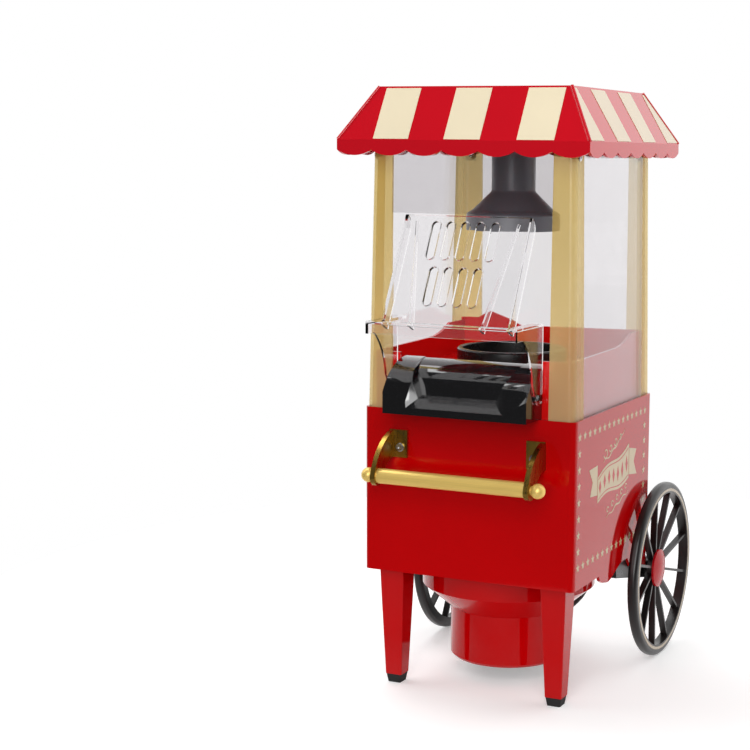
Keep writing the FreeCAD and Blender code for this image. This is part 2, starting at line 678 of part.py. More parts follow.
def fan_impeller():
    low, high = IMPELLER_LOW_Z, IMPELLER_HIGH_Z
    wheel_disc = Part.makeCylinder(IMPELLER_R, 1.5, V(0, AXIS_Y, low))
    hub = Part.makeCylinder(6.0, high - low, V(0, AXIS_Y, low))
    impeller = wheel_disc.fuse(hub)
    for step in range(IMPELLER_BLADES):
        blade = box(4.0, IMPELLER_R - 1.0, AXIS_Y - 0.7, AXIS_Y + 0.7, low, high)
        blade.rotate(V(IMPELLER_R, AXIS_Y, 0), Z_AXIS, 14)
        blade.rotate(V(0, AXIS_Y, 0), Z_AXIS, step * 360.0 / IMPELLER_BLADES)
        impeller = impeller.fuse(blade)
    inside = Part.makeCylinder(IMPELLER_R, high - low, V(0, AXIS_Y, low))
    impeller = impeller.common(inside).removeSplitter()
    return impeller.cut(Part.makeCylinder(SHAFT_R, high - low, V(0, AXIS_Y, low)))


def power_board():
    low = BODY_BOTTOM + BASE_T
    y = BOARD_Y
    card = box(-BOARD_W / 2, BOARD_W / 2, y, y + 1.6, low, low + BOARD_H)
    for step in range(4):
        x = -BOARD_W / 2 + 6 + step * 7.0
        card = card.fuse(rod(2.0, V(x, y - 1.2, low + 8), V(x, y - 1.2, low + 16)))
    return card.removeSplitter()


def switch_housing():
    rear = BODY_D / 2
    w, h = SWITCH_W / 2, SWITCH_H / 2
    flange = box(SWITCH_X - w - 2, SWITCH_X + w + 2, rear, rear + 1.5, SWITCH_Z - h - 2, SWITCH_Z + h + 2)
    body = box(SWITCH_X - w, SWITCH_X + w, rear - SWITCH_DEPTH, rear, SWITCH_Z - h, SWITCH_Z + h)
    pocket = box(SWITCH_X - w + 1.5, SWITCH_X + w - 1.5, rear - SWITCH_DEPTH + 4, rear + 4,
                 SWITCH_Z - h + 1.5, SWITCH_Z + h - 1.5)
    return flange.fuse(body).cut(pocket)


def switch_rocker():
    """A rocker with two faces, lying in its off position."""
    w, h = SWITCH_W / 2 - 1.9, SWITCH_H / 2 - 2.6
    y, z = SWITCH_PIVOT_Y, SWITCH_Z
    outline = [(y - 2.2, z - 2.4), (y + 2.6, z - h), (y + 5.0, z - h), (y + 3.6, z), (y + 5.0, z + h),
               (y + 2.6, z + h), (y - 2.2, z + 2.4)]
    rocker = side_profile(outline, SWITCH_X - w, SWITCH_X + w)
    rocker.rotate(V(SWITCH_X, y, z), X_AXIS, -SWITCH_THROW / 2)
    return rocker


# ---- Chute, door and handle ----

def channel_half(z):
    """Half width of the chute's channel at a height."""
    return CREASE_HALF + CHANNEL_FLARE * (z - CREASE_Z)


def tray_channel():
    """The way down the chute: a rounded slope, a drop and a floor, between leaning sides."""
    low, high = CREASE_Z - 5, TRAY_TOP_Z + 20
    far = TRAY_REAR_Y + 0.5
    edges = [Part.LineSegment(V(-60, CREASE_Y, high), V(-60, CREASE_Y, CREASE_Z)).toShape(),
             Part.LineSegment(V(-60, CREASE_Y, CREASE_Z), V(-60, -84.5, CREASE_Z + 1.2)).toShape(),
             Part.LineSegment(V(-60, -84.5, CREASE_Z + 1.2), V(-60, -81.5, 216.0)).toShape(),
             Part.Arc(V(-60, -81.5, 216.0), V(-60, -74.0, 223.4), V(-60, far, TRAY_TOP_Z - 0.5)).toShape(),
             Part.LineSegment(V(-60, far, TRAY_TOP_Z - 0.5), V(-60, far, high)).toShape(),
             Part.LineSegment(V(-60, far, high), V(-60, CREASE_Y, high)).toShape()]
    slope = Part.Face(Part.Wire(edges)).extrude(V(120, 0, 0))
    corners = [(-channel_half(low), low), (channel_half(low), low), (channel_half(high), high),
               (-channel_half(high), high)]
    mouth = Part.makePolygon([V(x, CREASE_Y - 1, z) for x, z in corners + corners[:1]])
    return slope.common(Part.Face(mouth).extrude(V(0, 40, 0)))


def lip_flare():
    """The notch in the front wall, opening out from the channel's mouth to the chute's sides."""
    wide, sky = TRAY_HALF + 1.0, TRAY_TOP_Z + 20
    brow = 214.7
    front = [(LIP_HALF, LIP_Z), (LIP_HALF + 1.6, LIP_Z + 0.9), (TRAY_HALF, TRAY_BROW_Z), (wide, sky)]
    mouth = [(CREASE_HALF, CREASE_Z), (channel_half(brow), brow), (TRAY_HALF, brow), (wide, sky)]
    ahead = [(2 * x0 - x1, 2 * z0 - z1) for (x0, z0), (x1, z1) in zip(front, mouth)]
    wires = []
    for half, y in ((ahead, 2 * TRAY_FRONT_Y - CREASE_Y), (mouth, CREASE_Y)):
        outline = [V(x, y, z) for x, z in half] + [V(-x, y, z) for x, z in reversed(half)]
        wires.append(Part.makePolygon(outline + outline[:1]))
    return Part.makeLoft(wires, True, True)


def chute_tray():
    """Black chute: a curved brow, cut by a channel that falls to a notched lip."""
    x = -TRAY_HALF
    front, foot_y, rear = TRAY_FRONT_Y, TRAY_FOOT_Y, TRAY_REAR_Y
    low, under, top = TRAY_LOW, TRAY_UNDER_Z, TRAY_TOP_Z
    edges = [Part.LineSegment(V(x, foot_y, low), V(x, front, low)).toShape(),
             Part.LineSegment(V(x, front, low), V(x, front, TRAY_BROW_Z)).toShape(),
             Part.Arc(V(x, front, TRAY_BROW_Z), V(x, -84.0, 221.1), V(x, rear, top)).toShape(),
             Part.LineSegment(V(x, rear, top), V(x, rear, under)).toShape(),
             Part.LineSegment(V(x, rear, under), V(x, foot_y, under)).toShape(),
             Part.LineSegment(V(x, foot_y, under), V(x, foot_y, low)).toShape()]
    block = Part.Face(Part.Wire(edges)).extrude(V(2 * TRAY_HALF, 0, 0))
    tray = block.cut(tray_channel()).cut(lip_flare())
    hollow = box(-TRAY_HALF + 2, TRAY_HALF - 2, front + 2, foot_y + 1, low - 1, low + 2.6)
    tray = tray.cut(hollow)
    for side in (-1, 1):
        tray = tray.fuse(rod(DOOR_PIN_R, V(side * (TRAY_HALF - 3), DOOR_PIVOT_Y, DOOR_PIVOT_Z),
                             V(side * (WING_OUT + 1.0), DOOR_PIVOT_Y, DOOR_PIVOT_Z)))
    return tray.removeSplitter()


def stadium(cx, cz, width, length, y0, y1):
    """An upright slot-shaped prism through an upright plate."""
    r = width / 2
    straight = length / 2 - r
    bar = box(cx - r, cx + r, y0, y1, cz - straight, cz + straight)
    for end in (-1, 1):
        bar = bar.fuse(rod(r, V(cx, y0, cz + end * straight), V(cx, y1, cz + end * straight)))
    return bar


def door_plate():
    """The leaning slotted plate, built upright on the origin and then leaned back."""
    rise = PLATE_HIGH_Z - (LEDGE_TOP_Z - CLEAR_T)
    run = PLATE_HIGH_Y - PLATE_LOW_Y
    height = math.hypot(rise, run)
    plate = box(-PLATE_HALF, PLATE_HALF, 0, CLEAR_T, 0, height)
    for side in (-1, 1):
        x0, x1 = sorted((side * (PLATE_HALF - CLEAR_T), side * PLATE_HALF))
        flange = box(x0, x1, 0, FLANGE_DEPTH, 0, height)
        corner = [edge for edge in along_edges(flange, "x", 1, 3)
                  if edge.BoundBox.ZMin > height - 1 and edge.BoundBox.YMin > FLANGE_DEPTH - 1]
        plate = plate.fuse(flange.makeFillet(FLANGE_DEPTH - 1.5, corner))
        high_x, low_x, rib_top = side * 37.0, side * 25.5, height - 4
        rib = [V(high_x, CLEAR_T / 2, rib_top), V(high_x, CLEAR_T + 1.0, rib_top),
               V(low_x, CLEAR_T + 6.0, 0), V(low_x, CLEAR_T / 2, 0)]
        plate = plate.fuse(Part.Face(Part.makePolygon(rib + rib[:1])).extrude(V(-side * 1.5, 0, 0)))
    high_row = height - SLOT_TOP_GAP - SLOT_L / 2
    rows = ((5, high_row), (4, high_row - SLOT_L - SLOT_ROW_GAP))
    for count, centre_z in rows:
        for step in range(count):
            cx = (step - (count - 1) / 2) * SLOT_PITCH
            plate = plate.fuse(stadium(cx, centre_z, SLOT_W + 2 * SLOT_EDGE, SLOT_L + 2 * SLOT_EDGE,
                                       -SLOT_RIM, CLEAR_T / 2))
    for count, centre_z in rows:
        for step in range(count):
            cx = (step - (count - 1) / 2) * SLOT_PITCH
            plate = plate.cut(stadium(cx, centre_z, SLOT_W, SLOT_L, -3, CLEAR_T + 3))
    plate.rotate(V(0, 0, 0), X_AXIS, -math.degrees(math.atan2(run, rise)))
    plate.translate(V(0, PLATE_LOW_Y, LEDGE_TOP_Z - CLEAR_T))
    return plate


def door_wing():
    """The right-hand wing, from the ledge down to its rounded pivot."""
    low_r = 5.0
    y, z = DOOR_PIVOT_Y, DOOR_PIVOT_Z
    x = WING_IN
    under = LEDGE_TOP_Z - LEDGE_H
    top = LEDGE_TOP_Z
    edges = [Part.LineSegment(V(x, LEDGE_FRONT_Y, top), V(x, LEDGE_FRONT_Y, under)).toShape(),
             Part.LineSegment(V(x, LEDGE_FRONT_Y, under), V(x, -107, under)).toShape(),
             Part.Arc(V(x, -107, under), V(x, -97.0, 236.5), V(x, -90.5, 218)).toShape(),
             Part.LineSegment(V(x, -90.5, 218), V(x, y - low_r, z)).toShape(),
             Part.Arc(V(x, y - low_r, z), V(x, y, z - low_r), V(x, y + low_r, z)).toShape(),
             Part.LineSegment(V(x, y + low_r, z), V(x, y + low_r, top)).toShape(),
             Part.LineSegment(V(x, y + low_r, top), V(x, LEDGE_FRONT_Y, top)).toShape()]
    wing = Part.Face(Part.Wire(edges)).extrude(V(WING_OUT - WING_IN, 0, 0))
    return wing.cut(rod(DOOR_PIN_R + DOOR_PLAY, V(x - 2, y, z), V(x + 5, y, z)))


def chute_door():
    shelf_rear = PLATE_LOW_Y + 2.5
    front_bar = box(-WING_OUT, WING_OUT, LEDGE_FRONT_Y, LEDGE_FRONT_Y + CLEAR_T,
                    LEDGE_TOP_Z - LEDGE_H, LEDGE_TOP_Z)
    shelf = box(-WING_OUT, WING_OUT, LEDGE_FRONT_Y, shelf_rear, LEDGE_TOP_Z - CLEAR_T, LEDGE_TOP_Z)
    door = front_bar.fuse(shelf)
    for side in (-1, 1):
        x0, x1 = sorted((side * PLATE_HALF, side * WING_OUT))
        door = door.fuse(box(x0, x1, LEDGE_FRONT_Y, DOOR_PIVOT_Y + 5, LEDGE_TOP_Z - CLEAR_T, LEDGE_TOP_Z))
    wing = door_wing()
    door = door.fuse(wing).fuse(mirrored(wing)).fuse(door_plate())
    return door.removeSplitter()


def handle_bracket():
    """The right-hand bracket: a screwed plate and a quarter-round arm."""
    face = -BODY_D / 2
    top, low = HANDLE_TOP_Z, HANDLE_TOP_Z - HANDLE_PLATE_H
    plate = box(ARM_IN - 9.7, ARM_OUT, face - 2.0, face, low, top)
    plate = plate.cut(rod(hole_r(HANDLE_SCREW_R), V(HANDLE_SCREW_X, face - 4, HANDLE_SCREW_Z),
                          V(HANDLE_SCREW_X, face + 2, HANDLE_SCREW_Z)))
    y, z, r = HANDLE_Y, HANDLE_Z, HANDLE_R + 1.6
    x = ARM_IN
    edges = [Part.LineSegment(V(x, face, low), V(x, face, top)).toShape(),
             Part.Arc(V(x, face, top), V(x, face - 19.5, z + 17.8), V(x, y - r, z)).toShape(),
             Part.Arc(V(x, y - r, z), V(x, y, z - r), V(x, y + r, z)).toShape(),
             Part.Arc(V(x, y + r, z), V(x, face - 9.5, low - 1.7), V(x, face, low)).toShape()]
    arm = Part.Face(Part.Wire(edges)).extrude(V(ARM_OUT - ARM_IN, 0, 0))
    return plate.fuse(arm).cut(rod(HANDLE_PIN_R, V(x - 3, y, z), V(x + 6, y, z))).removeSplitter()


def handle_bar():
    bar = rod(HANDLE_R, V(-ARM_IN, HANDLE_Y, HANDLE_Z), V(ARM_IN, HANDLE_Y, HANDLE_Z))
    return bar.fuse(rod(HANDLE_PIN_R, V(-ARM_OUT, HANDLE_Y, HANDLE_Z), V(ARM_OUT, HANDLE_Y, HANDLE_Z)))


def handle_knob():
    neck = rod(KNOB_NECK_R, V(ARM_OUT, HANDLE_Y, HANDLE_Z), V(KNOB_X, HANDLE_Y, HANDLE_Z))
    ball = Part.makeSphere(KNOB_R, V(KNOB_X, HANDLE_Y, HANDLE_Z))
    beyond = box(ARM_OUT, ARM_OUT + 20, HANDLE_Y - 10, HANDLE_Y + 10, HANDLE_Z - 10, HANDLE_Z + 10)
    return neck.fuse(ball.common(beyond)).removeSplitter()


def handle_screws():
    face = -BODY_D / 2 - 2.0
    return Part.makeCompound([screw(V(x, face, z), V(0, 1, 0), HANDLE_SCREW_R, 1.4, 8.0)
                              for x, z in handle_screw_places()])


# ---- Roof ----

def roof_corner(half, z, sx, sy):
    return V(sx * half, ROOF_Y + sy * half, z)


def roof_pyramid(eave_half, top_half, z0, z1):
    wires = []
    for half, z in ((eave_half, z0), (top_half, z1)):
        corners = [roof_corner(half, z, sx, sy) for sx, sy in ((-1, -1), (1, -1), (1, 1), (-1, 1))]
        wires.append(Part.makePolygon(corners + corners[:1]))
    return Part.makeLoft(wires, True, True)


def valance_side():
    """The front strip of the valance, with its scalloped lower edge."""
    half = ROOF_EAVE_HALF
    y = ROOF_Y - half
    pitch = 2 * half / SCALLOPS
    corners = [V(-half + step * pitch, y, SCALLOP_HIGH_Z) for step in range(SCALLOPS + 1)]
    edges = [Part.LineSegment(V(half, y, ROOF_EAVE_Z), V(-half, y, ROOF_EAVE_Z)).toShape(),
             Part.LineSegment(V(-half, y, ROOF_EAVE_Z), corners[0]).toShape()]
    for left, right in zip(corners[:-1], corners[1:]):
        middle = V((left.x + right.x) / 2, y, SCALLOP_LOW_Z)
        edges.append(Part.Arc(left, middle, right).toShape())
    edges.append(Part.LineSegment(corners[-1], V(half, y, ROOF_EAVE_Z)).toShape())
    return Part.Face(Part.Wire(edges)).extrude(V(0, ROOF_WALL, 0))


def roof_shell():
    roof = roof_pyramid(ROOF_EAVE_HALF, ROOF_TOP_HALF, ROOF_EAVE_Z, ROOF_TOP_Z)
    slope = (ROOF_EAVE_HALF - ROOF_TOP_HALF) / (ROOF_TOP_Z - ROOF_EAVE_Z)
    inset = ROOF_WALL * 1.2
    ceiling_low = ROOF_SEAT_Z + ROOF_SOFFIT
    roof = roof.cut(roof_pyramid(ROOF_EAVE_HALF - inset - slope * (ceiling_low - ROOF_EAVE_Z),
                                 ROOF_TOP_HALF - inset + slope * ROOF_WALL,
                                 ceiling_low, ROOF_TOP_Z - ROOF_WALL))
    for turn in (0, 90, 180, 270):
        strip = valance_side()
        strip.rotate(V(0, ROOF_Y, 0), Z_AXIS, turn)
        roof = roof.fuse(strip)
    roof = roof.fuse(box(-ROOF_EAVE_HALF + 1, ROOF_EAVE_HALF - 1, ROOF_Y - ROOF_EAVE_HALF + 1,
                         ROOF_Y + ROOF_EAVE_HALF - 1, ROOF_SEAT_Z, ROOF_EAVE_Z + 0.5))
    hatch = CASE_HALF_HIGH - 9.0
    roof = roof.cut(box(-hatch, hatch, -hatch, hatch, ROOF_SEAT_Z - 3, ROOF_EAVE_Z + 6))
    for sx, sy in ((-1, -1), (1, -1), (1, 1), (-1, 1)):
        hip = rod(HIP_R, roof_corner(ROOF_EAVE_HALF - 0.5, ROOF_EAVE_Z, sx, sy),
                  roof_corner(ROOF_TOP_HALF - 0.3, ROOF_TOP_Z - 0.3, sx, sy))
        roof = roof.fuse(hip)
    tab = box(TAB_X, TAB_X + 12.0, TAB_Y, TAB_Y + 5.0, ROOF_TOP_Z - 1, ROOF_TOP_Z + 2.0)
    roof = roof.fuse(tab)
    return roof.removeSplitter()


# ---- Mains lead ----

def cord_route():
    """Centre line of the lead from its strain relief to the coil."""
    return [V(RELIEF_X, RELIEF_Y, RELIEF_LOW_Z), V(37.8, 57.0, 48.6), V(19.0, 56.0, 29.4),
            V(4.0, 55.6, 13.4), V(-9.0, 55.8, 4.8), V(-20.0, 56.0, CORD_D / 2 + 0.1)]


def bent_tube(points, radius):
    """Straight runs joined by tangent arcs, each as large as its two runs allow."""
    edges = []
    start = points[0]
    for index in range(1, len(points) - 1):
        before = points[index].sub(points[index - 1])
        after = points[index + 1].sub(points[index])
        turn = before.getAngle(after)
        run = min(before.Length, after.Length)
        reach = 0.45 * run
        bend_r = reach / math.tan(turn / 2)
        print("cord arc", index, "radius", round(bend_r, 1), "turn", round(math.degrees(turn), 1))
        back = V(before).normalize().multiply(-reach)
        ahead = V(after).normalize().multiply(reach)
        arc_start = points[index].add(back)
        arc_end = points[index].add(ahead)
        toward = back.add(ahead).normalize()
        sagitta = bend_r / math.cos(turn / 2) - bend_r
        edges.append(Part.LineSegment(start, arc_start).toShape())
        edges.append(Part.Arc(arc_start, points[index].add(toward.multiply(sagitta)), arc_end).toShape())
        start = arc_end
    edges.append(Part.LineSegment(start, points[-1]).toShape())
    path = Part.Wire(edges)
    section = Part.Wire(Part.makeCircle(radius, points[0], points[1].sub(points[0])))
    tube = path.makePipeShell([section], True, False)
    expected = math.pi * radius ** 2 * path.Length
    print("cord tube length", round(path.Length, 1), "volume share", round(tube.Volume / expected, 4))
    return tube


def coil_ring(inset):
    return ring(COIL_OUT_R - inset, COIL_IN_R + inset, 0.1 + inset, COIL_H - inset, COIL_X, COIL_Y)


def tie_slab():
    return box(COIL_X + COIL_IN_R - 5, COIL_X + COIL_OUT_R + 5, COIL_Y - 4, COIL_Y + 4, 0, COIL_H + 1)


def cord_tie():
    return coil_ring(0.0).common(tie_slab()).cut(coil_ring(1.0))


def cord_coil():
    return coil_ring(0.0).cut(cord_tie())


def strain_relief():
    """Tapered sleeve that hangs from the base plate behind the drum."""
    low_end = V(RELIEF_X, RELIEF_Y, RELIEF_LOW_Z)
    return Part.makeCone(CORD_D / 2 + 0.8, RELIEF_R, BODY_BOTTOM - RELIEF_LOW_Z, low_end)


def plug_body():
    """Moulded two-pin plug, lying along the coil's left side on top of it."""
    low = COIL_H
    x0, x1 = PLUG_X - PLUG_W / 2, PLUG_X + PLUG_W / 2
    body = box(x0, x1, PLUG_Y, PLUG_Y + PLUG_L, low, low + PLUG_H)
    body = body.makeFillet(4.5, along_edges(body, "y", 10, 60))
    neck = Part.makeCone(CORD_D / 2 + 0.6, 5.0, 18.0, V(PLUG_X, PLUG_Y - 18.0, low + PLUG_H / 2), V(0, 1, 0))
    return body.fuse(neck).removeSplitter()


def plug_pins():
    z = COIL_H + PLUG_H / 2
    pins = []
    for side in (-1, 1):
        x = PLUG_X + side * PLUG_PIN_GAP / 2
        pins.append(rod(PLUG_PIN_R, V(x, PLUG_Y + PLUG_L, z), V(x, PLUG_Y + PLUG_L + PLUG_PIN_L, z)))
    return Part.makeCompound(pins)


def main():
    skin = case_skin()
    save("cabinet_shell", cabinet_shell())
    save("base_plate", base_plate())
    save("base_screws", base_screws())
    save("fan_housing", fan_housing())
    save("intake_grille", intake_grille())
    pairs = {"front_leg": front_leg(), "foot": foot(), "axle_bracket": axle_bracket(), "wheel": wheel(),
             "hub_cap": hub_cap(), "handle_bracket": handle_bracket(), "handle_knob": handle_knob()}
    for name, shape in pairs.items():
        save(name + "_right", shape)
        save(name + "_left", mirrored(shape))
    save("axle", axle())
    save("panel_front", panel(skin, 0, DOORWAY_TOP))
    save("panel_right", panel(skin, 90))
    save("panel_rear", panel(skin, 180))
    save("panel_left", panel(skin, 270))
    for name, sx, sy in (("front_left", -1, -1), ("front_right", 1, -1), ("rear_left", -1, 1),
                         ("rear_right", 1, 1)):
        save("post_" + name, post(skin, sx, sy))
    save("case_top", case_top())
    save("case_screws", case_screws())
    save("deflector_hood", deflector_hood())
    save("deck_tub", deck_tub())
    save("popping_chamber", popping_chamber())
    save("chamber_collar", chamber_collar())
    save("air_duct", air_duct())
    save("heater_boards", heater_boards())
    save("heating_coil", heating_coil())
    save("thermostat", thermostat())
    save("thermal_fuse", thermal_fuse())
    save("motor_mount", motor_mount())
    save("fan_motor", fan_motor())
    save("motor_shaft", motor_shaft())
    save("fan_impeller", fan_impeller())
    save("power_board", power_board())
    save("switch_housing", switch_housing())
    save("switch_rocker", switch_rocker())
    save("chute_tray", chute_tray())
    save("chute_door", chute_door())
    save("handle_bar", handle_bar())
    save("handle_screws", handle_screws())
    save("roof_shell", roof_shell())
    save("strain_relief", strain_relief())
    save("power_cord", bent_tube(cord_route(), CORD_D / 2))
    save("cord_coil", cord_coil())
    save("cord_tie", cord_tie())
    save("plug_body", plug_body())
    save("plug_pins", plug_pins())


main()
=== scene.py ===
import json
import math

import bmesh
import bpy
from mathutils import Matrix, Vector


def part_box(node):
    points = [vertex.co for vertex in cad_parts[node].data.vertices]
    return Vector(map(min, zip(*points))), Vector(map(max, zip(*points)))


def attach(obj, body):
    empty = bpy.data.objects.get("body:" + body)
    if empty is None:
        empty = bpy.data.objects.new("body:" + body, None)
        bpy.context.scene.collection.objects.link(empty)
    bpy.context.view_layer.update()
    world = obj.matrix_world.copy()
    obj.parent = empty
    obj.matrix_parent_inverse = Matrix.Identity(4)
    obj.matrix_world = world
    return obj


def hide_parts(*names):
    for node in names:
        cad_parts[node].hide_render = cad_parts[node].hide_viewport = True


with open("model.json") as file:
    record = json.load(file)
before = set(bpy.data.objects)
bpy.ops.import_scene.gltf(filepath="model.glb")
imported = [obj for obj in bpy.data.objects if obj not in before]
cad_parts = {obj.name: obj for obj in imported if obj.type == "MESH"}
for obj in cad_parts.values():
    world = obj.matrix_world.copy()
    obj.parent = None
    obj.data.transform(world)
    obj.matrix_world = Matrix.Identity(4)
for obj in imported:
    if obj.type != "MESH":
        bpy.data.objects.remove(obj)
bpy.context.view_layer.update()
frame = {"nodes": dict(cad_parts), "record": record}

# The looks of a table-top popcorn maker shaped like a street cart. Lengths are in metres.

MM = 0.001
NODES = frame["nodes"]


# ---- Camera ----

CAMERA_AT = Vector((0.4479, -1.0553, 0.3635))
CAMERA_TURN = math.radians(23.38)
CAMERA_TIP = math.radians(7.713)
CAMERA_ROLL = math.radians(0.676)
CAMERA_LENS = 79.11
FRAMING_SHIFT = -0.18
SENSOR_WIDTH = 36.0
CLIP_NEAR, CLIP_FAR = 0.05, 30.0


def make_camera():
    data = bpy.data.cameras.new("camera")
    data.lens = CAMERA_LENS
    data.sensor_width = SENSOR_WIDTH
    data.shift_x = FRAMING_SHIFT
    data.clip_start = CLIP_NEAR
    data.clip_end = CLIP_FAR
    camera = bpy.data.objects.new("camera", data)
    turn = Matrix.Rotation(CAMERA_TURN, 4, "Z")
    tip = Matrix.Rotation(math.pi / 2 - CAMERA_TIP, 4, "X")
    roll = Matrix.Rotation(CAMERA_ROLL, 4, "Z")
    camera.matrix_world = Matrix.Translation(CAMERA_AT) @ turn @ tip @ roll
    bpy.context.collection.objects.link(camera)
    bpy.context.scene.camera = camera


make_camera()


# ---- Places taken from the frame, in metres ----

def middle(node, axis):
    low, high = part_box(node)
    return (low[axis] + high[axis]) / 2


CART_Y = middle("cabinet_shell", 1)
CABINET = [Vector(corner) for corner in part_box("cabinet_shell")]


# ---- Mains lead ----

CORD_D = 5.0 * MM
CORD_LIFT = 0.1 * MM
COIL_LOW, COIL_HIGH = [Vector(corner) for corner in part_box("cord_coil")]
COIL_TURNS = 5.25
TURN_STEPS = 16
FIRST_STEP = 2
LAYER_RISE = 5.1 * MM
COLUMN_R = (28.9 * MM, 23.4 * MM)
TURN_COLUMNS = (0, 1, 1, 0, 0, 1, 1)
TURN_LAYERS = (0, 0, 1, 1, 2, 2, 2)
CROSSING = 0.25
CLIMB_STEPS = TURN_STEPS * 0.45
PLUG_LOW, PLUG_HIGH = [Vector(corner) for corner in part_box("plug_body")]
PLUG_AXIS = Vector(((PLUG_LOW.x + PLUG_HIGH.x) / 2, 0, (PLUG_LOW.z + PLUG_HIGH.z) / 2))
PLUG_RISE = PLUG_AXIS.z - CORD_D / 2 - CORD_LIFT - 2 * LAYER_RISE
PLUG_ENTRY = 4 * MM


def smooth_step(share):
    share = min(max(share, 0.0), 1.0)
    return share * share * (3 - 2 * share)


def coil_centre():
    """The middle of the coil. The tie shortens its box at high X, so X is measured from low X."""
    half = (COIL_HIGH.y - COIL_LOW.y) / 2
    return Vector((COIL_LOW.x + half, (COIL_LOW.y + COIL_HIGH.y) / 2, 0))


def cord_run():
    """The lead from its strain relief down to the floor beside the coil."""
    y = CART_Y
    return [Vector((0.0378, y + 0.0570, 0.0660)), Vector((0.0378, y + 0.0570, 0.0486)),
            Vector((0.0190, y + 0.0560, 0.0294)), Vector((0.0040, y + 0.0556, 0.0134)),
            Vector((-0.0090, y + 0.0558, 0.0048)), Vector((-0.0200, y + 0.0560, 0.0026))]


def cord_turns():
    """Two columns, three layers high. The last stretch climbs to the plug on top."""
    centre = coil_centre()
    wound = []
    total = int(COIL_TURNS * TURN_STEPS)
    for step in range(FIRST_STEP, total + 1):
        done = step / TURN_STEPS
        turn = min(int(done), len(TURN_COLUMNS) - 2)
        blend = smooth_step((done - turn - (1 - CROSSING)) / CROSSING)
        before, after = COLUMN_R[TURN_COLUMNS[turn]], COLUMN_R[TURN_COLUMNS[turn + 1]]
        radius = before * (1 - blend) + after * blend
        layer = TURN_LAYERS[turn] * (1 - blend) + TURN_LAYERS[turn + 1] * blend
        rise = smooth_step((step - total + CLIMB_STEPS) / CLIMB_STEPS)
        angle = -math.pi / 2 - 2 * math.pi * done
        z = CORD_D / 2 + CORD_LIFT + layer * LAYER_RISE + rise * PLUG_RISE
        wound.append(centre + Vector((radius * math.cos(angle), radius * math.sin(angle), z)))
    return wound


def make_cord():
    points = cord_run() + cord_turns()
    points.append(Vector((PLUG_AXIS.x, PLUG_LOW.y - PLUG_ENTRY, PLUG_AXIS.z)))
    points.append(Vector((PLUG_AXIS.x, PLUG_LOW.y + PLUG_ENTRY, PLUG_AXIS.z)))
    curve = bpy.data.curves.new("mains_lead", "CURVE")
    curve.dimensions = "3D"
    curve.bevel_depth = CORD_D / 2
    curve.bevel_resolution = 5
    curve.use_fill_caps = True
    spline = curve.splines.new("NURBS")
    spline.points.add(len(points) - 1)
    for place, point in zip(spline.points, points):
        place.co = (*point, 1.0)
    spline.order_u = 3
    spline.use_endpoint_u = True
    spline.resolution_u = 6
    lead = bpy.data.objects.new("mains_lead", curve)
    bpy.context.collection.objects.link(lead)
    lead.data.materials.append(MATERIALS["cord_black"])
    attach(lead, "root")
    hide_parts("power_cord", "cord_coil")


# ---- Material helpers ----

def linear(red, green, blue):
    """An sRGB colour, 0 to 255, as the linear colour that shaders take."""
    def one(value):
        value = value / 255.0
        return value / 12.92 if value <= 0.04045 else ((value + 0.055) / 1.055) ** 2.4
    return (one(red), one(green), one(blue), 1.0)


FACE_ON_GLOSS = 0.035
GLANCE_POWER = 5.0


class Builder:
    """A material's node tree, with short ways to add and join nodes."""

    def __init__(self, name):
        self.material = bpy.data.materials.new(name)
        self.material.use_nodes = True
        self.tree = self.material.node_tree
        self.shader = self.tree.nodes["Principled BSDF"]
        self.output = self.tree.nodes["Material Output"]
        self.place = self.add("ShaderNodeTexCoord").outputs["Object"]

    def add(self, kind, **settings):
        node = self.tree.nodes.new(kind)
        for name, value in settings.items():
            setattr(node, name, value)
        return node

    def join(self, source, target):
        self.tree.links.new(source, target)

    def noise(self, scale, detail=3.0, roughness=0.55, stretch=None):
        node = self.add("ShaderNodeTexNoise")
        node.inputs["Scale"].default_value = scale
        node.inputs["Detail"].default_value = detail
        node.inputs["Roughness"].default_value = roughness
        if stretch:
            mapping = self.add("ShaderNodeMapping")
            mapping.inputs["Scale"].default_value = stretch
            self.join(self.place, mapping.inputs["Vector"])
            self.join(mapping.outputs["Vector"], node.inputs["Vector"])
        else:
            self.join(self.place, node.inputs["Vector"])
        return node.outputs["Fac"]

    def spread(self, source, low, high, source_low=0.3, source_high=0.7):
        node = self.add("ShaderNodeMapRange")
        node.inputs["From Min"].default_value = source_low
        node.inputs["From Max"].default_value = source_high
        node.inputs["To Min"].default_value = low
        node.inputs["To Max"].default_value = high
        self.join(source, node.inputs["Value"])
        return node.outputs["Result"]

    def mix(self, factor, first, second):
        node = self.add("ShaderNodeMix", data_type="RGBA")
        self.join(factor, node.inputs["Factor"])
        for value, socket in ((first, node.inputs["A"]), (second, node.inputs["B"])):
            if isinstance(value, tuple):
                socket.default_value = value
            else:
                self.join(value, socket)
        return node.outputs["Result"]

    def bump(self, source, strength, distance):
        node = self.add("ShaderNodeBump")
        node.inputs["Strength"].default_value = strength
        node.inputs["Distance"].default_value = distance
        self.join(source, node.inputs["Height"])
        self.join(node.outputs["Normal"], self.shader.inputs["Normal"])

    def colour(self, source):
        self.join(source, self.shader.inputs["Base Color"])

    def sheet_gloss(self):
        """How much a thin sheet mirrors, the same from either side: little face on, much at a glance."""
        facing = self.add("ShaderNodeLayerWeight")
        facing.inputs["Blend"].default_value = 0.5
        steep = self.add("ShaderNodeMath", operation="POWER")
        steep.inputs[1].default_value = GLANCE_POWER
        self.join(facing.outputs["Facing"], steep.inputs[0])
        return self.spread(steep.outputs["Value"], FACE_ON_GLOSS, 1.0, 0.0, 1.0)

    def rough(self, source):
        self.join(source, self.shader.inputs["Roughness"])


def shade(colour, factor):
    return (colour[0] * factor, colour[1] * factor, colour[2] * factor, 1.0)


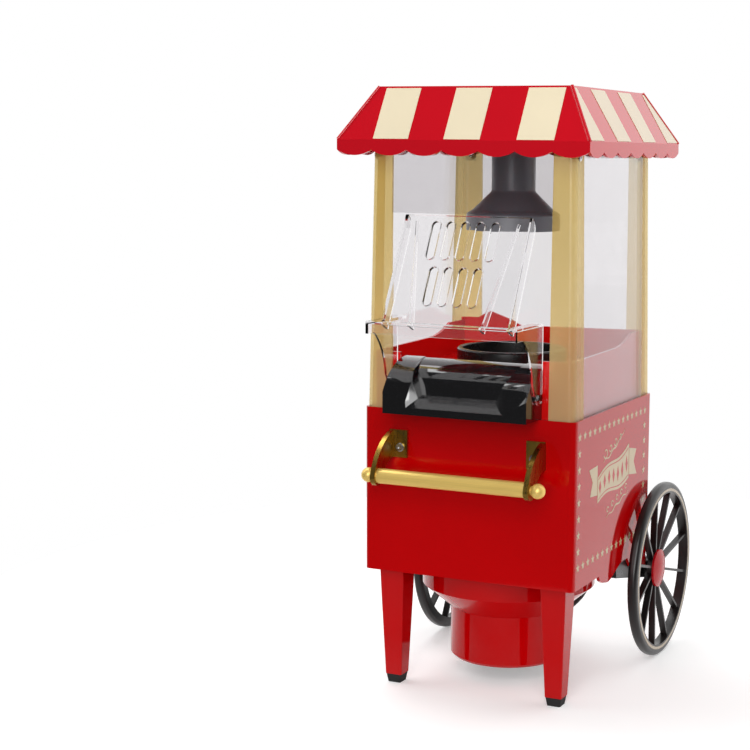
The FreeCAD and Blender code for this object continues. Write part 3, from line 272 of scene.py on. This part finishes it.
DRIFT_SCALE, PATCH_SCALE, SKIN_SCALE = 14.0, 60.0, 900.0
SKIN_DEPTH = 0.0002
COAT_ROUGH = 0.06


def moulded(name, colour, rough, grain, variation, coat=0.0, gloss=0.5):
    """Injection-moulded plastic: slow colour drift, patchy gloss and a fine skin."""
    made = Builder(name)
    drift = made.spread(made.noise(DRIFT_SCALE, 4.0), 0.0, 1.0)
    made.colour(made.mix(drift, shade(colour, 1 - variation), shade(colour, 1 + variation)))
    made.rough(made.spread(made.noise(PATCH_SCALE, 5.0, 0.6), rough[0], rough[1]))
    made.bump(made.noise(SKIN_SCALE, 2.0, 0.5), grain, SKIN_DEPTH)
    made.shader.inputs["Specular IOR Level"].default_value = gloss
    made.shader.inputs["Coat Weight"].default_value = coat
    made.shader.inputs["Coat Roughness"].default_value = COAT_ROUGH
    return made.material


BRUSH_SCALE = 60.0
BRUSH_DEPTH = 0.0001
BRUSH_SHADE = 0.84


def brushed(name, colour, rough, stretch=(1.0, 60.0, 60.0), grain=0.25, metal=1.0):
    """Metal drawn or brushed along one axis."""
    made = Builder(name)
    lines = made.noise(BRUSH_SCALE, 4.0, 0.6, stretch)
    made.colour(made.mix(made.spread(lines, 0.0, 1.0), shade(colour, BRUSH_SHADE), colour))
    made.rough(made.spread(lines, rough[0], rough[1]))
    made.bump(lines, grain, BRUSH_DEPTH)
    made.shader.inputs["Metallic"].default_value = metal
    return made.material


SHEET_ROUGH = (0.03, 0.06)


def clear_sheet(name, tint):
    """Thin clear plastic: light passes straight through, with a mirror film on top."""
    made = Builder(name)
    made.tree.nodes.remove(made.shader)
    through = made.add("ShaderNodeBsdfTransparent")
    wear = made.spread(made.noise(35.0, 4.0), 0.0, 1.0)
    made.join(made.mix(wear, shade(tint, 0.985), tint), through.inputs["Color"])
    film = made.add("ShaderNodeBsdfGlossy")
    film.inputs["Color"].default_value = (1, 1, 1, 1)
    made.join(made.spread(made.noise(80.0, 3.0), *SHEET_ROUGH), film.inputs["Roughness"])
    mixed = made.add("ShaderNodeMixShader")
    made.join(made.sheet_gloss(), mixed.inputs["Fac"])
    made.join(through.outputs["BSDF"], mixed.inputs[1])
    made.join(film.outputs["BSDF"], mixed.inputs[2])
    made.join(mixed.outputs["Shader"], made.output.inputs["Surface"])
    return made.material


ACRYLIC_IOR = 1.46
CLEAR_SHADOW = (0.94, 0.94, 0.94, 1.0)


def clear_moulding(name, tint):
    """Thick clear plastic that bends light at its edges, with clear shadows."""
    made = Builder(name)
    made.shader.inputs["Base Color"].default_value = tint
    made.shader.inputs["Transmission Weight"].default_value = 1.0
    made.shader.inputs["IOR"].default_value = ACRYLIC_IOR
    made.rough(made.spread(made.noise(90.0, 3.0), 0.0, 0.02))
    shadow = made.add("ShaderNodeLightPath").outputs["Is Shadow Ray"]
    through = made.add("ShaderNodeBsdfTransparent")
    through.inputs["Color"].default_value = CLEAR_SHADOW
    mixed = made.add("ShaderNodeMixShader")
    made.join(shadow, mixed.inputs["Fac"])
    made.join(made.shader.outputs["BSDF"], mixed.inputs[1])
    made.join(through.outputs["BSDF"], mixed.inputs[2])
    made.join(mixed.outputs["Shader"], made.output.inputs["Surface"])
    return made.material


GOLD_LOW_Z, GOLD_HIGH_Z = 0.21, 0.36


def gold_film(name, low_colour, high_colour, tint, clearness):
    """Gold-tinted clear plastic with a lacquered skin, deeper in colour towards the top."""
    made = Builder(name)
    height = made.add("ShaderNodeSeparateXYZ")
    made.join(made.place, height.inputs["Vector"])
    rise = made.spread(height.outputs["Z"], 0.0, 1.0, GOLD_LOW_Z, GOLD_HIGH_Z)
    made.colour(made.mix(rise, low_colour, high_colour))
    made.rough(made.spread(made.noise(20.0, 2.0), 0.16, 0.22))
    through = made.add("ShaderNodeBsdfTransparent")
    through.inputs["Color"].default_value = tint
    mixed = made.add("ShaderNodeMixShader")
    mixed.inputs["Fac"].default_value = clearness
    made.join(made.shader.outputs["BSDF"], mixed.inputs[1])
    made.join(through.outputs["BSDF"], mixed.inputs[2])
    made.join(mixed.outputs["Shader"], made.output.inputs["Surface"])
    return made.material


RED = linear(176, 0, 3)
CREAM = linear(246, 232, 200)
# BRASS is the brass colour made paler: partly the rod's own brass, partly painted light for the highlight
# along the rod.
BRASS = linear(250, 214, 120)

MATERIALS = {
    "red_gloss": moulded("red_gloss", RED, (0.03, 0.05), 0.01, 0.04, gloss=0.35),
    "deck_red": moulded("deck_red", linear(205, 12, 12), (0.1, 0.16), 0.02, 0.05),
    # roof_red is lighter and bluer than red_gloss: partly the roof's own red, partly painted sheen for the
    # light on its slopes.
    "roof_red": moulded("roof_red", linear(206, 12, 30), (0.06, 0.1), 0.02, 0.04),
    "cap_red": moulded("cap_red", linear(172, 12, 22), (0.08, 0.14), 0.03, 0.06, gloss=0.2),
    "black_plastic": moulded("black_plastic", linear(16, 16, 17), (0.22, 0.34), 0.1, 0.2),
    "tray_black": moulded("tray_black", linear(12, 12, 14), (0.05, 0.1), 0.02, 0.2, coat=0.9),
    "wheel_black": moulded("wheel_black", linear(22, 19, 19), (0.28, 0.4), 0.08, 0.2),
    "rocker_black": moulded("rocker_black", linear(18, 18, 19), (0.15, 0.25), 0.03, 0.2, coat=0.3),
    # kettle_grey is lighter than the kettle's own grey: painted light for the dim space under the roof.
    "kettle_grey": moulded("kettle_grey", linear(94, 95, 102), (0.3, 0.42), 0.12, 0.1),
    "foot_rubber": moulded("foot_rubber", linear(26, 26, 26), (0.65, 0.85), 0.5, 0.25),
    "cord_black": moulded("cord_black", linear(26, 26, 27), (0.45, 0.6), 0.2, 0.2),
    "tie_black": moulded("tie_black", linear(40, 40, 42), (0.6, 0.8), 0.5, 0.25),
    "mica": moulded("mica", linear(206, 190, 158), (0.4, 0.65), 0.3, 0.25),
    "board_green": moulded("board_green", linear(28, 96, 52), (0.25, 0.4), 0.1, 0.15),
    # The rod's brass is only partly metal, so its pale colour shows as painted light: the lit copy of the
    # brackets' brass.
    "brass": brushed("brass", BRASS, (0.34, 0.44), (0.4, 60.0, 60.0), 0.04, metal=0.45),
    # Painted shade: a darker copy of the handle's brass for the brackets, which mirror the dim room in
    # front.
    "shaded_brass_plate": brushed("shaded_brass_plate", linear(176, 142, 66), (0.24, 0.34), (6.0, 6.0, 1.0), 0.03),
    "screw_steel": brushed("screw_steel", linear(205, 205, 208), (0.2, 0.35)),
    "bare_aluminium": brushed("bare_aluminium", linear(226, 206, 160), (0.25, 0.4), (20.0, 20.0, 1.0)),
    "duct_tin": brushed("duct_tin", linear(190, 190, 192), (0.3, 0.45), (20.0, 20.0, 1.0)),
    "heater_wire": brushed("heater_wire", linear(140, 134, 130), (0.35, 0.5)),
    "gold_plastic": gold_film("gold_plastic", linear(222, 196, 148), linear(220, 192, 112),
                              (0.95, 0.87, 0.62, 1.0), 0.6),
    "clear_plastic": clear_sheet("clear_plastic", (0.9, 0.891, 0.898, 1.0)),
    "door_clear": clear_moulding("door_clear", (0.98, 0.975, 0.98, 1.0)),
    "cream_print": moulded("cream_print", CREAM, (0.08, 0.14), 0.02, 0.04),
    # Painted shade: the same cream as cream_print, darkened for the shade on the roof's two sides.
    "shaded_side_cream": moulded("shaded_side_cream", linear(222, 202, 168), (0.08, 0.14), 0.02, 0.04),
    "tyre_line": moulded("tyre_line", linear(176, 160, 138), (0.2, 0.3), 0.02, 0.05),
    # Painted shade: the side prints' cream, darkened for the shade on the cabinet's sides.
    "shaded_side_print": moulded("shaded_side_print", linear(190, 168, 130), (0.05, 0.09), 0.02, 0.05),
}


def paint_frame():
    """Gives each CAD node the material of its slot in the record; the handle brackets get a darker copy of
    the brass, with painted shade.
    """
    for part in frame["record"]["subparts"]:
        node = NODES[part["node"]]
        look = "shaded_brass_plate" if part["node"].startswith("handle_bracket") else part["material_slot"]
        for holder in node.material_slots:
            holder.material = MATERIALS[look]


paint_frame()
make_cord()


# ---- Mesh helpers ----

def new_piece(name, mesh, body, slot, material=None):
    piece = bpy.data.objects.new(name, mesh)
    bpy.context.collection.objects.link(piece)
    mesh.materials.append(MATERIALS[material or slot])
    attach(piece, body)
    return piece


def prism_mesh(name, outlines, place, depth):
    """Flat outlines of (s, t) points as thin closed prisms; place gives a point's spot at a depth."""
    mesh = bpy.data.meshes.new(name)
    work = bmesh.new()
    for outline in outlines:
        low = [work.verts.new(place(s, t, 0.0)) for s, t in outline]
        high = [work.verts.new(place(s, t, depth)) for s, t in outline]
        work.faces.new(list(reversed(low)))
        work.faces.new(high)
        count = len(outline)
        for index in range(count):
            following = (index + 1) % count
            work.faces.new((low[index], low[following], high[following], high[index]))
    bmesh.ops.recalc_face_normals(work, faces=work.faces)
    big = [face for face in work.faces if len(face.verts) > 4]
    bmesh.ops.triangulate(work, faces=big)
    work.to_mesh(mesh)
    work.free()
    return mesh


# ---- Roof stripes ----

STRIPES = 7
STRIPE_LIFT = 0.05 * MM
STRIPE_DEPTH = 0.25 * MM
ROOF_EAVE_HALF = 88.3 * MM
ROOF_TOP_HALF = 67.9 * MM
ROOF_EAVE_Z = 370.3 * MM
ROOF_TOP_Z = 405.0 * MM
ROOF_Y = CART_Y - 2.0 * MM
HIP_CLEAR = 1.1 * MM
EAVE_CLEAR = 0.6 * MM
TOP_REACH = 0.96
FRONT_SHIFT = 1.3 * MM


ROOF_RISE = ROOF_TOP_Z - ROOF_EAVE_Z
ROOF_RUN = ROOF_EAVE_HALF - ROOF_TOP_HALF
SLOPE_LENGTH = math.hypot(ROOF_RISE, ROOF_RUN)
HIP_EDGE = ROOF_EAVE_HALF - HIP_CLEAR
NO_HEIGHT = 1e-5


def stripe_outline(left, right):
    """One band on a slope, as (across, up) points, clipped by the hips."""
    def top_at(across):
        reach = (HIP_EDGE - abs(across)) / ROOF_RUN
        return SLOPE_LENGTH * min(max(reach, 0.0), TOP_REACH)

    left, right = max(left, -HIP_EDGE), min(right, HIP_EDGE)
    kink = ROOF_TOP_HALF + (1 - TOP_REACH) * ROOF_RUN - HIP_CLEAR
    stops = [left] + [k for k in (-kink, kink) if left < k < right] + [right]
    upper = [(across, max(top_at(across), EAVE_CLEAR)) for across in stops]
    lower = [(stops[-1], EAVE_CLEAR), (stops[0], EAVE_CLEAR)]
    corner = HIP_EDGE - EAVE_CLEAR / (SLOPE_LENGTH / ROOF_RUN)
    if upper[0][1] - EAVE_CLEAR < NO_HEIGHT:
        upper[0] = (-corner, EAVE_CLEAR)
        lower.pop()
    if upper[-1][1] - EAVE_CLEAR < NO_HEIGHT:
        upper[-1] = (corner, EAVE_CLEAR)
        lower.pop(0)
    return upper + lower


def slope_place(turn):
    """Maps (across, up the slope, out) to the roof side turned about the vertical axis."""
    up = Vector((0, ROOF_RUN / SLOPE_LENGTH, ROOF_RISE / SLOPE_LENGTH))
    out = Vector((0, -ROOF_RISE / SLOPE_LENGTH, ROOF_RUN / SLOPE_LENGTH))
    start = Vector((0, -ROOF_EAVE_HALF, ROOF_EAVE_Z))
    spin = Matrix.Rotation(turn, 3, "Z")
    centre = Vector((0, ROOF_Y, 0))

    def place(across, along, depth):
        point = start + Vector((across, 0, 0)) + up * along + out * (STRIPE_LIFT + depth)
        return centre + spin @ point

    return place


def make_roof_stripes():
    pitch = 2 * ROOF_EAVE_HALF / STRIPES
    for side, turn in (("front", 0), ("right", 90), ("rear", 180), ("left", 270)):
        first = 1 if side in ("front", "rear") else 0
        outlines = []
        for band in range(first, STRIPES, 2):
            left = -ROOF_EAVE_HALF + band * pitch + (FRONT_SHIFT if side == "front" else 0.0)
            outlines.append(stripe_outline(left, left + pitch))
        mesh = prism_mesh("roof_stripes_" + side, outlines, slope_place(math.radians(turn)), STRIPE_DEPTH)
        # The side stripes get the darkened cream: painted shade on the roof's sides.
        look = "shaded_side_cream" if side in ("right", "left") else "cream_print"
        new_piece("roof_stripes_" + side, mesh, "roof", "roof_red", look)


make_roof_stripes()


# ---- Side prints ----

PRINT_LIFT = 0.02 * MM
PRINT_DEPTH = 0.12 * MM
MARK_DEPTH = PRINT_DEPTH * 1.6
STAR_R = 3.2 * MM
STAR_WAIST = 0.42
STAR_FRONT, STAR_REAR = -67.5 * MM, 60.5 * MM
STAR_LOW, STAR_HIGH = 96.5 * MM, 182.4 * MM
STARS_ACROSS = 15
STARS_DOWN = 9


def side_place(side):
    """Maps (s, t, out) to the cabinet's side, s to the right as that side is seen."""
    face = CABINET[1].x if side > 0 else CABINET[0].x

    def place(s, t, depth):
        return Vector((face + side * (PRINT_LIFT + depth), CART_Y + side * s, t))

    return place


def star(cx, cz, radius):
    points = []
    for step in range(10):
        reach = radius if step % 2 == 0 else radius * STAR_WAIST
        angle = math.pi / 2 + step * math.pi / 5
        points.append((cx + reach * math.cos(angle), cz + reach * math.sin(angle)))
    return points


def star_border():
    places = []
    for step in range(STARS_ACROSS):
        s = STAR_FRONT + (STAR_REAR - STAR_FRONT) * step / (STARS_ACROSS - 1)
        places += [(s, STAR_LOW), (s, STAR_HIGH)]
    for step in range(1, STARS_DOWN - 1):
        t = STAR_LOW + (STAR_HIGH - STAR_LOW) * step / (STARS_DOWN - 1)
        places += [(STAR_FRONT, t), (STAR_REAR, t)]
    return [star(s, t, STAR_R) for s, t in places]


BANNER_FRONT, BANNER_REAR = -33.0 * MM, 28.0 * MM
BANNER_STEPS = 14
BANNER_MIDDLE, BANNER_CLIMB, BANNER_WAVE = 141.3, 10.4, 2.2
BANNER_HALF, BANNER_GROWTH = 8.6, 3.6
BANNER_TAILS = (((-49.4, 157.7), (-33.8, 158.6), (-33.8, 138.4), (-46.9, 139.5), (-42.7, 148.7)),
                ((28.8, 160.4), (44.0, 157.5), (38.5, 149.5), (45.2, 139.4), (28.8, 141.6)))
DIAMONDS = 7
DIAMOND_HALF = 2.3 * MM
LINE_SHARES = (-0.82, 0.76)
LINE_THICK = 0.06
LINE_INSET = 0.3


def banner_line(s):
    """The banner's middle line and half height at s: it climbs and grows towards the rear."""
    share = (s - BANNER_FRONT) / (BANNER_REAR - BANNER_FRONT)
    middle_t = (BANNER_MIDDLE + BANNER_CLIMB * share + BANNER_WAVE * math.sin(2 * math.pi * share)) * MM
    return middle_t, (BANNER_HALF + BANNER_GROWTH * share) * MM


def banner():
    """A swallow-tailed banner as flat outlines: its band in strips, and both tails."""
    outlines = []
    for step in range(BANNER_STEPS):
        a = BANNER_FRONT + (BANNER_REAR - BANNER_FRONT) * step / BANNER_STEPS
        b = BANNER_FRONT + (BANNER_REAR - BANNER_FRONT) * (step + 1) / BANNER_STEPS
        (at, ah), (bt, bh) = banner_line(a), banner_line(b)
        outlines.append([(a, at - ah), (b, bt - bh), (b, bt + bh), (a, at + ah)])
    for tail in BANNER_TAILS:
        outlines.append([(s * MM, t * MM) for s, t in tail])
    return outlines


def banner_marks():
    """A row of diamonds between two thin lines along the banner."""
    outlines = []
    for step in range(DIAMONDS):
        s = BANNER_FRONT + (BANNER_REAR - BANNER_FRONT) * (step + 0.5) / DIAMONDS
        t, half = banner_line(s)
        outlines.append([(s - DIAMOND_HALF, t), (s, t - half * 0.5),
                         (s + DIAMOND_HALF, t), (s, t + half * 0.5)])
    spaces = BANNER_STEPS + 2 * LINE_INSET
    for share in LINE_SHARES:
        for step in range(BANNER_STEPS):
            a = BANNER_FRONT + (BANNER_REAR - BANNER_FRONT) * (step + LINE_INSET) / spaces
            b = BANNER_FRONT + (BANNER_REAR - BANNER_FRONT) * (step + 1 + LINE_INSET) / spaces
            (at, ah), (bt, bh) = banner_line(a), banner_line(b)
            outlines.append([(a, at + ah * share), (b, bt + bh * share),
                             (b, bt + bh * (share + LINE_THICK)), (a, at + ah * (share + LINE_THICK))])
    return outlines


PEN_STEPS = 20
PEN_WAVE = 0.9 * MM
PEN_TIP = 0.25
CURL_STEPS = 16
CURL_SWEEP = math.radians(300)
CURL_TIGHTEN = 0.55
UPPER_CURLS = ((-18.5, 164.4, 4.0), (-9.0, 166.6, 3.0), (0.5, 169.4, 3.2), (10.0, 171.6, 2.4))
LOWER_CURLS = ((-13.0, 124.6), (-4.0, 127.0), (5.0, 129.6), (14.0, 131.8), (23.0, 134.2))


def ribbon_line(start, end, bow, width, waves):
    """A tapering pen line from start to end, bowed upward and gently waved."""
    spots = []
    for step in range(PEN_STEPS + 1):
        share = step / PEN_STEPS
        s = start[0] + (end[0] - start[0]) * share
        t = start[1] + (end[1] - start[1]) * share + bow * math.sin(math.pi * share)
        t += PEN_WAVE * math.sin(2 * math.pi * waves * share)
        spots.append((s, t, width * (PEN_TIP + math.sin(math.pi * share))))
    outlines = []
    for (s0, t0, w0), (s1, t1, w1) in zip(spots[:-1], spots[1:]):
        outlines.append([(s0, t0 - w0), (s1, t1 - w1), (s1, t1 + w1), (s0, t0 + w0)])
    return outlines


def curl(centre, size, width, spin):
    """A small open curl."""
    spots = []
    for step in range(CURL_STEPS + 1):
        share = step / CURL_STEPS
        angle = spin + CURL_SWEEP * share
        reach = size * (1 - CURL_TIGHTEN * share)
        spots.append((centre[0] + reach * math.cos(angle), centre[1] + reach * math.sin(angle),
                      math.cos(angle), math.sin(angle)))
    outlines = []
    for (s0, t0, c0, d0), (s1, t1, c1, d1) in zip(spots[:-1], spots[1:]):
        outlines.append([(s0 - width * c0, t0 - width * d0), (s1 - width * c1, t1 - width * d1),
                         (s1 + width * c1, t1 + width * d1), (s0 + width * c0, t0 + width * d0)])
    return outlines


def flourishes():
    """Pen strokes and curls over and under the banner."""
    outlines = ribbon_line((-22.0 * MM, 158.6 * MM), (19.5 * MM, 175.6 * MM), -2.0 * MM, 0.5 * MM, 3.0)
    for s, t, size in UPPER_CURLS:
        outlines += curl((s * MM, t * MM), size * MM, 0.45 * MM, math.radians(200))
    outlines += ribbon_line((-15.0 * MM, 119.6 * MM), (28.0 * MM, 130.6 * MM), 0.0, 0.5 * MM, 3.0)
    for s, t in LOWER_CURLS:
        outlines += curl((s * MM, t * MM), 2.3 * MM, 0.4 * MM, math.radians(20))
    return outlines


def make_side_prints():
    for side, word in ((1, "right"), (-1, "left")):
        place = side_place(side)
        for name, outlines in (("star_border_", star_border()), ("banner_print_", banner()),
                               ("scroll_print_", flourishes())):
            mesh = prism_mesh(name + word, outlines, place, PRINT_DEPTH)
            # The side prints get the darkened cream: painted shade on the cabinet's sides.
            new_piece(name + word, mesh, "root", "red_gloss", "shaded_side_print")
        mesh = prism_mesh("banner_marks_" + word, banner_marks(), place, MARK_DEPTH)
        new_piece("banner_marks_" + word, mesh, "root", "red_gloss")


make_side_prints()


# ---- Wheel pinstripes ----

RIM_FACE = 87.1 * MM
PINSTRIPE_IN, PINSTRIPE_OUT = 6.4 * MM, 4.5 * MM
PINSTRIPE_STEPS = 96


def rim_place(side, centre_y, centre_z):
    """Maps (s, t, out) to the outer face of the wheel on that side."""
    def place(s, t, depth):
        return Vector((side * (RIM_FACE + PRINT_LIFT + depth), centre_y + s, centre_z + t))

    return place


def make_pinstripes():
    for side, word in ((1, "right"), (-1, "left")):
        low, high = [Vector(corner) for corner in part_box("wheel_" + word)]
        radius = (high.z - low.z) / 2
        inner, outer = radius - PINSTRIPE_IN, radius - PINSTRIPE_OUT
        outlines = []
        for step in range(PINSTRIPE_STEPS):
            a, b = 2 * math.pi * step / PINSTRIPE_STEPS, 2 * math.pi * (step + 1) / PINSTRIPE_STEPS
            outlines.append([(r * math.cos(t), r * math.sin(t)) for r, t in
                             ((inner, a), (outer, a), (outer, b), (inner, b))])
        place = rim_place(side, (low.y + high.y) / 2, (low.z + high.z) / 2)
        mesh = prism_mesh("pinstripe_" + word, outlines, place, PRINT_DEPTH)
        new_piece("pinstripe_" + word, mesh, "wheel_" + word, "wheel_black", "tyre_line")


make_pinstripes()


# ---- Floor and light ----

FLOOR_R = 0.5
FLOOR_Y = 0.12
FLOOR_STEPS = 96
FLOOR_ROUGH = 0.8
FLOOR_GLOW = 0.3
PAPER_LOW, PAPER_HIGH = (0.86, 0.86, 0.86, 1.0), (0.88, 0.88, 0.88, 1.0)
MIRRORED_PAPER = (0.3, 0.3, 0.3, 1.0)
MIRROR_DARK_Y, MIRROR_PALE_Y = -0.16, 0.04


def make_floor():
    """A round sheet of white paper. Its front part is dark to reflections, so the glossy reds stay clear."""
    mesh = bpy.data.meshes.new("floor")
    turns = [2 * math.pi * step / FLOOR_STEPS for step in range(FLOOR_STEPS)]
    ring = [(FLOOR_R * math.cos(turn), FLOOR_Y + FLOOR_R * math.sin(turn), 0) for turn in turns]
    mesh.from_pydata(ring, [], [tuple(range(FLOOR_STEPS))])
    floor = bpy.data.objects.new("floor", mesh)
    bpy.context.collection.objects.link(floor)
    made = Builder("floor_paper")
    spot = made.add("ShaderNodeSeparateXYZ")
    made.join(made.place, spot.inputs["Vector"])
    in_front = made.spread(spot.outputs["Y"], 1.0, 0.0, MIRROR_DARK_Y, MIRROR_PALE_Y)
    both = made.add("ShaderNodeMath", operation="MULTIPLY")
    made.join(made.add("ShaderNodeLightPath").outputs["Is Glossy Ray"], both.inputs[0])
    made.join(in_front, both.inputs[1])
    mirrored = both.outputs["Value"]
    paper = made.mix(made.noise(3.0), PAPER_LOW, PAPER_HIGH)
    made.colour(made.mix(mirrored, paper, MIRRORED_PAPER))
    made.shader.inputs["Roughness"].default_value = FLOOR_ROUGH
    made.shader.inputs["Specular IOR Level"].default_value = 0.1
    made.shader.inputs["Emission Color"].default_value = (1, 1, 1, 1)
    made.join(made.spread(mirrored, FLOOR_GLOW, 0.0, 0.0, 1.0), made.shader.inputs["Emission Strength"])
    mesh.materials.append(made.material)


def area_light(name, place, aim, size, power):
    """A square lamp that the camera doesn't see."""
    data = bpy.data.lights.new(name, "AREA")
    data.shape = "RECTANGLE"
    data.size = size
    data.size_y = size
    data.energy = power
    lamp = bpy.data.objects.new(name, data)
    direction = Vector(aim) - Vector(place)
    facing = direction.to_track_quat("-Z", "Y").to_matrix().to_4x4()
    lamp.matrix_world = Matrix.Translation(Vector(place)) @ facing
    lamp.visible_camera = False
    lamp.visible_transmission = False
    bpy.context.collection.objects.link(lamp)


FRONT_GLOW = 0.09
REAR_GLOW = 1.2
GLOW_RANGE = (-0.25, 0.35)
LOBE_GLOW = 0.35
LOBE_AIM = (0.32, 0.9, 0.28)
LOBE_RANGE = (0.9, 0.985)


def soft_ramp(tree, source, source_range, low, high):
    node = tree.nodes.new("ShaderNodeMapRange")
    node.interpolation_type = "SMOOTHSTEP"
    for name, value in zip(("From Min", "From Max", "To Min", "To Max"), (*source_range, low, high)):
        node.inputs[name].default_value = value
    tree.links.new(source, node.inputs["Value"])
    return node.outputs["Result"]


def make_world():
    """A bright backdrop behind the cart, a dim room in front, and plain white where seen directly."""
    world = bpy.data.worlds.new("studio")
    world.use_nodes = True
    tree = world.node_tree
    background = tree.nodes["Background"]
    background.inputs["Strength"].default_value = 1.0
    place = tree.nodes.new("ShaderNodeTexCoord")
    split = tree.nodes.new("ShaderNodeSeparateXYZ")
    tree.links.new(place.outputs["Generated"], split.inputs["Vector"])
    glow = soft_ramp(tree, split.outputs["Y"], GLOW_RANGE, FRONT_GLOW, REAR_GLOW)
    toward = tree.nodes.new("ShaderNodeVectorMath")
    toward.operation = "DOT_PRODUCT"
    toward.inputs[1].default_value = Vector(LOBE_AIM).normalized()
    tree.links.new(place.outputs["Generated"], toward.inputs[0])
    lobe = soft_ramp(tree, toward.outputs["Value"], LOBE_RANGE, 0.0, LOBE_GLOW)
    total = tree.nodes.new("ShaderNodeMath")
    tree.links.new(glow, total.inputs[0])
    tree.links.new(lobe, total.inputs[1])
    seen = tree.nodes.new("ShaderNodeLightPath")
    direct = tree.nodes.new("ShaderNodeMath")
    direct.operation = "MAXIMUM"
    tree.links.new(seen.outputs["Is Camera Ray"], direct.inputs[0])
    tree.links.new(seen.outputs["Is Transmission Ray"], direct.inputs[1])
    mixed = tree.nodes.new("ShaderNodeMix")
    tree.links.new(direct.outputs["Value"], mixed.inputs["Factor"])
    tree.links.new(total.outputs["Value"], mixed.inputs["A"])
    mixed.inputs["B"].default_value = 1.0
    tree.links.new(mixed.outputs["Result"], background.inputs["Color"])
    bpy.context.scene.world = world


CART_MIDDLE = (0, 0, 0.2)
LAMPS = (("key", (0.6, -1.6, 1.1), CART_MIDDLE, 1.0, 15),
         ("front_fill", (0.35, -1.9, 0.42), (0, 0, 0.25), 0.7, 9),
         ("left_fill", (-1.5, -0.5, 1.4), CART_MIDDLE, 1.0, 6),
         ("top", (-0.62, 0.02, 1.8), CART_MIDDLE, 0.75, 8))


def make_light():
    for lamp in LAMPS:
        area_light(*lamp)
    scene = bpy.context.scene
    scene.view_settings.view_transform = "Standard"
    scene.view_settings.look = "None"


make_floor()
make_world()
make_light()
